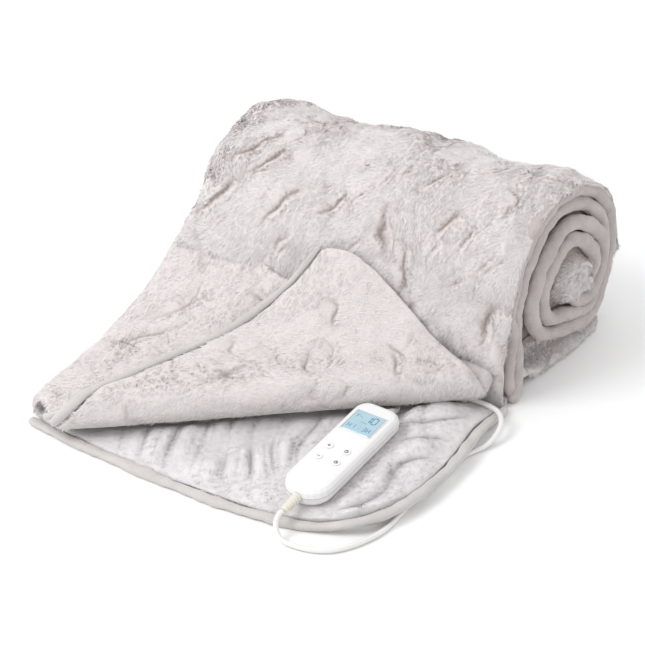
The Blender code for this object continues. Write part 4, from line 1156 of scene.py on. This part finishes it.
# ---- stage and light -----------------------------------------------------------------------------
def set_stage():
    nothing_selected()
    bpy.ops.mesh.primitive_plane_add(size=60, location=(0, 0, -0.0002))
    floor = bpy.context.active_object
    floor.name = "studio_floor"
    look = Finish("studio_floor", 0.9)
    tint = look.noise(2.0, detail=1.0)
    look.set("Base Color", look.blend(tint, (0.86, 0.86, 0.86), (0.88, 0.88, 0.88)))
    floor.data.materials.append(look.material)
    world = bpy.data.worlds.new("studio")
    world.use_nodes = True
    sky = world.node_tree.nodes["Background"]
    sky.inputs["Color"].default_value = (1.0, 1.0, 1.0, 1.0)
    sky.inputs["Strength"].default_value = 0.97
    bpy.context.scene.world = world
    bpy.context.scene.view_settings.view_transform = "Standard"
    for name, place, size, power in (
            ("key_light", (-1.0, -1.15, 1.7), 1.0, 24.0),
            ("fill_light", (1.0, -1.9, 1.3), 1.6, 2.5),
            ("back_light", (0.3, 1.7, 1.4), 1.2, 3.5)):
        data = bpy.data.lights.new(name, "AREA")
        data.size, data.energy = size, power
        light = linked(name, data)
        light.location = place
        light.rotation_euler = (Vector((0, 0, 0.05)) - Vector(place)).to_track_quat("-Z", "Y").to_euler()


place_camera()
white_sheath = hard_finish("white_sheath", 60.0, (0.70, 0.69, 0.675), (0.77, 0.765, 0.755), (0.26, 0.12),
                           (0.05, 0.0004), Specular_IOR_Level=0.5)
lay_leads(white_sheath)
skin, fleece = plush_skin_finish(), fleece_finish()
pile = pile_finish("brushed_pile", PLUSH_TIP, PLUSH_ROOT, PLUSH_CREASE_SHADE)
nap = pile_finish("fleece_nap", FLEECE_LIGHT, FLEECE_SHADE, FLEECE_WRINKLE_SHADE)
tape_cloth = band_finish("tape_cloth", TAPE_LIGHT, TAPE_SHADE)
band_cloth = band_finish("band_cloth", SPIRAL_LIGHT, SPIRAL_SHADE)
roll = build_roll(skin)
cloth = build_loose_end(skin, fleece)
bands = build_spiral(roll, band_cloth)
tapes = build_bindings(tape_cloth)
grow_pile(roll, cloth, bands, pile, nap)
white_shell = hard_finish("white_shell", 30.0, (0.735, 0.730, 0.735), (0.775, 0.770, 0.775), (0.30, 0.10),
                          (0.06, 0.0002, 2600.0), Specular_IOR_Level=0.5)
cream_rubber = hard_finish("cream_rubber", 90.0, (0.66, 0.63, 0.55), (0.73, 0.70, 0.62), (0.42, 0.15),
                           (0.08, 0.0003), Specular_IOR_Level=0.4)
window = hard_finish("display_window", 40.0, (0.30, 0.47, 0.55), (0.38, 0.55, 0.62), (0.12, 0.05), detail=1.0,
                     Coat_Weight=0.5, Coat_Roughness=0.05)
plated = hard_finish("plated_pin", 500.0, (0.62, 0.60, 0.55), (0.76, 0.74, 0.70), (0.18, 0.20),
                     stretch=(0.1, 1.0, 1.0), Metallic=1.0)
for look, dressed in (
        (white_shell, ("controller_body", "controller_key_upper_left", "controller_key_upper_right",
                       "controller_key_lower_left", "controller_key_lower_right", "plug_body")),
        (window, ("controller_screen",)),
        (cream_rubber, ("strain_relief_lower", "strain_relief_upper", "blanket_socket")),
        (plated, ("plug_pin_left", "plug_pin_right"))):
    for node in dressed:
        dress_node(node, look)
print_display(ink_finish("display_ink", (0.03, 0.10, 0.24)))
mark_keys(ink_finish("key_ink", (0.10, 0.10, 0.12)))
frame_window(white_shell)
part_shell(ink_finish("parting_shadow", (0.42, 0.42, 0.43)))
tie_coil(ink_finish("tie_cloth", (0.06, 0.06, 0.065)))
set_stage()
